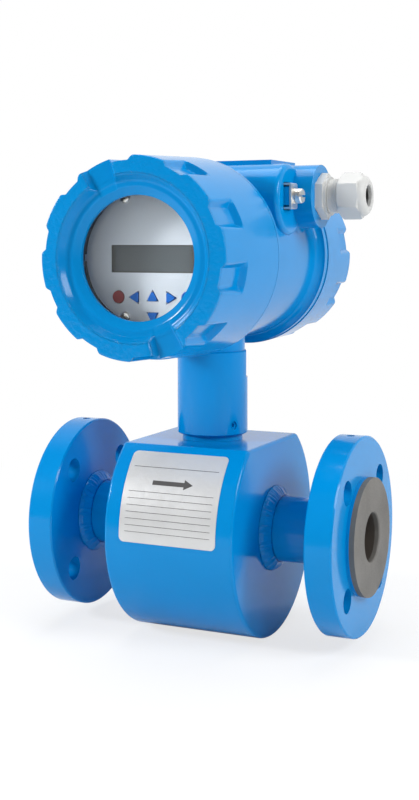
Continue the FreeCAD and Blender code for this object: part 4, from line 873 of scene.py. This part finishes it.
# %% Tree: display screws
def build_screw_tree():
    tree, came, goes = new_tree("display_screws", [
        ("Head Radius", FLOAT, 0.003), ("Head Height", FLOAT, 0.0016),
        ("Shank Radius", FLOAT, 0.0015), ("Shank Length", FLOAT, 0.01),
        ("Across", FLOAT, 0.033), ("Up", FLOAT, 0.066), ("Finish", "NodeSocketMaterial", None)])
    head_radius, head_height = came.outputs["Head Radius"], came.outputs["Head Height"]
    head = add(tree, "GeometryNodeMeshCylinder", Vertices=32, Side_Segments=5, Fill_Segments=4,
               Radius=head_radius, Depth=head_height)
    spot = add(tree, "GeometryNodeInputPosition").outputs[0]
    height = plus(tree, math_node(tree, "DIVIDE", split(tree, spot)["Z"], head_height), 0.5)
    narrow = minus(tree, 1.0, times(tree, math_node(tree, "POWER", height, 3.0), 0.24))
    flat = vector_node(tree, "MULTIPLY", spot, combine(tree, X=narrow, Y=narrow, Z=1.0))
    reach = vector_node(tree, "LENGTH", vector_node(tree, "MULTIPLY", spot, (1, 1, 0)))
    share = math_node(tree, "DIVIDE", reach, head_radius)
    dome = times(tree, minus(tree, 1.0, math_node(tree, "POWER", share, 2.0)),
                 times(tree, head_height, 0.28))
    on_top = math_node(tree, "GREATER_THAN", height, 0.99)
    shaped = add(tree, "GeometryNodeSetPosition", Geometry=head.outputs["Mesh"], Position=flat,
                 Offset=combine(tree, Z=times(tree, dome, on_top)))
    cut = add(tree, "GeometryNodeMeshBoolean", operation="DIFFERENCE")
    join(tree, shaped.outputs[0], cut.inputs["Mesh 1"])
    long_side, short_side = times(tree, head_radius, 1.05), times(tree, head_radius, 0.27)
    raised = combine(tree, Z=times(tree, head_height, 0.62))
    for x_size, y_size in ((short_side, long_side), (long_side, short_side)):
        bar = add(tree, "GeometryNodeMeshCube",
                  Size=combine(tree, X=x_size, Y=y_size, Z=head_height))
        put = add(tree, "GeometryNodeTransform", Geometry=bar.outputs["Mesh"],
                  Translation=raised)
        join(tree, put.outputs[0], cut.inputs["Mesh 2"])
    shank = add(tree, "GeometryNodeMeshCylinder", Vertices=12,
                Radius=came.outputs["Shank Radius"], Depth=came.outputs["Shank Length"])
    down = times(tree, plus(tree, came.outputs["Shank Length"], times(tree, head_height, 0.9)),
                 -0.5)
    sunk = add(tree, "GeometryNodeTransform", Geometry=shank.outputs["Mesh"],
               Translation=combine(tree, Z=down))
    whole = add(tree, "GeometryNodeJoinGeometry")
    join(tree, cut.outputs["Mesh"], whole.inputs[0])
    join(tree, sunk.outputs[0], whole.inputs[0])
    corners = add(tree, "GeometryNodeMeshGrid", Size_X=came.outputs["Across"],
                  Size_Y=came.outputs["Up"], Vertices_X=2, Vertices_Y=2)
    many = add(tree, "GeometryNodeInstanceOnPoints", Points=corners.outputs["Mesh"],
               Instance=whole.outputs[0])
    close_tree(tree, came, goes, many.outputs[0])
    return tree


screw_low, screw_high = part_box("display_screws")
plate_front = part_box("display_plate")[0][1]
head_height = plate_front - screw_low[1]
SIDE_REACH, UP_REACH = 16.7 * MM, 32.8 * MM
mesh = run_tree(build_screw_tree(), "cross_screws", Head_Radius=3.0 * MM,
                Head_Height=head_height, Shank_Radius=1.4 * MM,
                Shank_Length=screw_high[1] - plate_front, Across=2 * SIDE_REACH,
                Up=2 * UP_REACH, Finish=nickel)
mesh.transform(Matrix.Rotation(math.pi / 2, 4, "X"))
mesh.transform(Matrix.Translation((0, plate_front - head_height / 2, HEAD_Z)))
soften(mesh, 35)
make_piece("cross_screws", mesh, nickel, "head", ("display_screws",))

# %% [markdown]
# ## Print on the label
# The rating label is a foil with a dark flow arrow and thin rules between its rows, and
# nothing is written here. Each mark is a thin slab of ink bent round the drum.

# %% Label print
LABEL_R = -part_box("rating_label")[0][1]
INK_UP, INK_DOWN = 0.05 * MM, 0.06 * MM


def bent_slab(outline):
    """Points and faces of an (x, z) outline laid on the label, as a thin closed slab."""
    points = []
    for reach in (LABEL_R + INK_UP, LABEL_R - INK_DOWN):
        for x, z in outline:
            points.append((x * MM, -math.sqrt(reach ** 2 - (z * MM) ** 2), z * MM))
    count = len(outline)
    faces = [tuple(range(count)), tuple(range(2 * count - 1, count - 1, -1))]
    faces += [(i, count + i, count + (i + 1) % count, (i + 1) % count) for i in range(count)]
    return points, faces


ARROW_Z, SHAFT_TAIL, SHAFT_END, ARROW_TIP = 32.0, -12.5, 7.2, 12.7
SHAFT_HALF, BARB_HALF = 1.15, 2.6
RULE_REACH, RULE_HALF = 26.5, 0.12
RULES_AT = (39.8, 26.9, 23.2, 19.5, 15.8, 12.1, 8.4, 4.7)


def level_bar(left, right, middle_z, half):
    """The (x, z) outline of a level bar."""
    low, high = middle_z - half, middle_z + half
    return [(left, low), (right, low), (right, high), (left, high)]


marks = [level_bar(SHAFT_TAIL, SHAFT_END, ARROW_Z, SHAFT_HALF),
         [(SHAFT_END, ARROW_Z - BARB_HALF), (ARROW_TIP, ARROW_Z), (SHAFT_END, ARROW_Z)],
         [(SHAFT_END, ARROW_Z), (ARROW_TIP, ARROW_Z), (SHAFT_END, ARROW_Z + BARB_HALF)]]
marks += [level_bar(-RULE_REACH, RULE_REACH, rule_z, RULE_HALF) for rule_z in RULES_AT]
points, faces = [], []
for outline in marks:
    new_points, new_faces = bent_slab(outline)
    faces += [tuple(len(points) + k for k in face) for face in new_faces]
    points += new_points
make_piece("label_print", mesh_from("label_print", points, faces), ink, "sensor")

# %% [markdown]
# ## Floor
# The meter stands on a white floor. Near the meter the floor is lit and takes its shadow, and
# further out it glows as brightly as the room, so that no horizon shows.

# %% Floor
def ray_kinds(tree):
    """The light path's outputs, and whether a ray is one that sees rather than lights."""
    rays = add(tree, "ShaderNodeLightPath").outputs
    kinds = ("Is Camera Ray", "Is Glossy Ray", "Is Transmission Ray")
    return rays, largest(tree, *(rays[kind] for kind in kinds))


def build_floor_finish():
    """A lit floor near the meter that turns into a glowing one with distance."""
    material = bpy.data.materials.new("studio_floor")
    material.use_nodes = True
    tree = material.node_tree
    tree.nodes.clear()
    place = object_place(tree)
    tint = mix_colour(tree, noise(tree, place, 3.0, 4.0), (0.86, 0.875, 0.89),
                      (0.88, 0.89, 0.90))
    shader = add(tree, "ShaderNodeBsdfPrincipled", Roughness=0.75, Base_Color=tint,
                 Specular_IOR_Level=0.1)
    glow = add(tree, "ShaderNodeEmission", Color=(1, 1, 1, 1), Strength=1.0)
    rays, seen = ray_kinds(tree)
    away = vector_node(tree, "LENGTH", place)
    near = ramp(tree, away, 0.22, 0.75, 0.72, 1.0)
    behind = ramp(tree, split(tree, place)["Y"], -0.30, 0.20)
    mirror_near = times(tree, ramp(tree, away, 0.22, 0.60, 0.10, 1.0), behind)
    share = largest(tree, times(tree, rays["Is Camera Ray"], near),
                    times(tree, seen, mirror_near))
    mix_shaders(tree, share, shader, glow, add(tree, "ShaderNodeOutputMaterial"))
    return material


floor_z = cad_low[2]
FLOOR_HALF = 6.0
corners = [(x * FLOOR_HALF, y * FLOOR_HALF, floor_z)
           for x, y in ((-1, -1), (1, -1), (1, 1), (-1, 1))]
mesh = mesh_from("studio_floor", corners, [(0, 1, 2, 3)])
mesh.materials.append(build_floor_finish())
floor = bpy.data.objects.new("studio_floor", mesh)
bpy.context.scene.collection.objects.link(floor)
print("floor at z =", round(floor_z, 4))

# %% [markdown]
# ## Light and background
# Three soft lamps shape the meter: a small key in front on the left, a larger one on the right
# and one from above. The camera and the glass see the room as plain white. Mirroring surfaces
# see white behind the meter and a dim room in front of it, and the room lights the meter at a
# lower strength.

# %% World and lamps
ROOM_LIGHT, DIM_ROOM = 0.40, 0.12
world = bpy.data.worlds.new("white_room")
bpy.context.scene.world = world
world.use_nodes = True
tree = world.node_tree
tree.nodes.clear()
rays, seen = ray_kinds(tree)
heading = split(tree, add(tree, "ShaderNodeNewGeometry").outputs["Incoming"])
front_room = ramp(tree, heading["Y"], -0.35, 0.15, 1.0, DIM_ROOM)
white = largest(tree, front_room, rays["Is Camera Ray"], rays["Is Transmission Ray"])
strength = add(tree, "ShaderNodeMix", data_type="FLOAT")
for place, value in ((0, seen), (2, ROOM_LIGHT), (3, white)):
    join(tree, value, strength.inputs[place])
sky = add(tree, "ShaderNodeBackground", Color=(1, 1, 1, 1), Strength=strength.outputs[0])
join(tree, sky.outputs[0], add(tree, "ShaderNodeOutputWorld").inputs["Surface"])


def lamp(name, power, size, spot, aim=(0, 0, 0.08)):
    """A soft area lamp that points at the meter."""
    data = bpy.data.lights.new(name, "AREA")
    data.shape, data.size, data.energy = "DISK", size, power
    item = bpy.data.objects.new(name, data)
    item.location = spot
    item.rotation_euler = (Vector(aim) - Vector(spot)).to_track_quat("-Z", "Y").to_euler()
    bpy.context.scene.collection.objects.link(item)


lamp("side", 11.5, 0.6, (1.15, -0.25, 0.75))
lamp("top", 8.0, 0.9, (-0.1, 0.15, 1.25))
lamp("key", 15.0, 0.32, (-1.1, -0.85, 0.65))
bpy.context.scene.view_settings.view_transform = "Standard"
print("room lit")
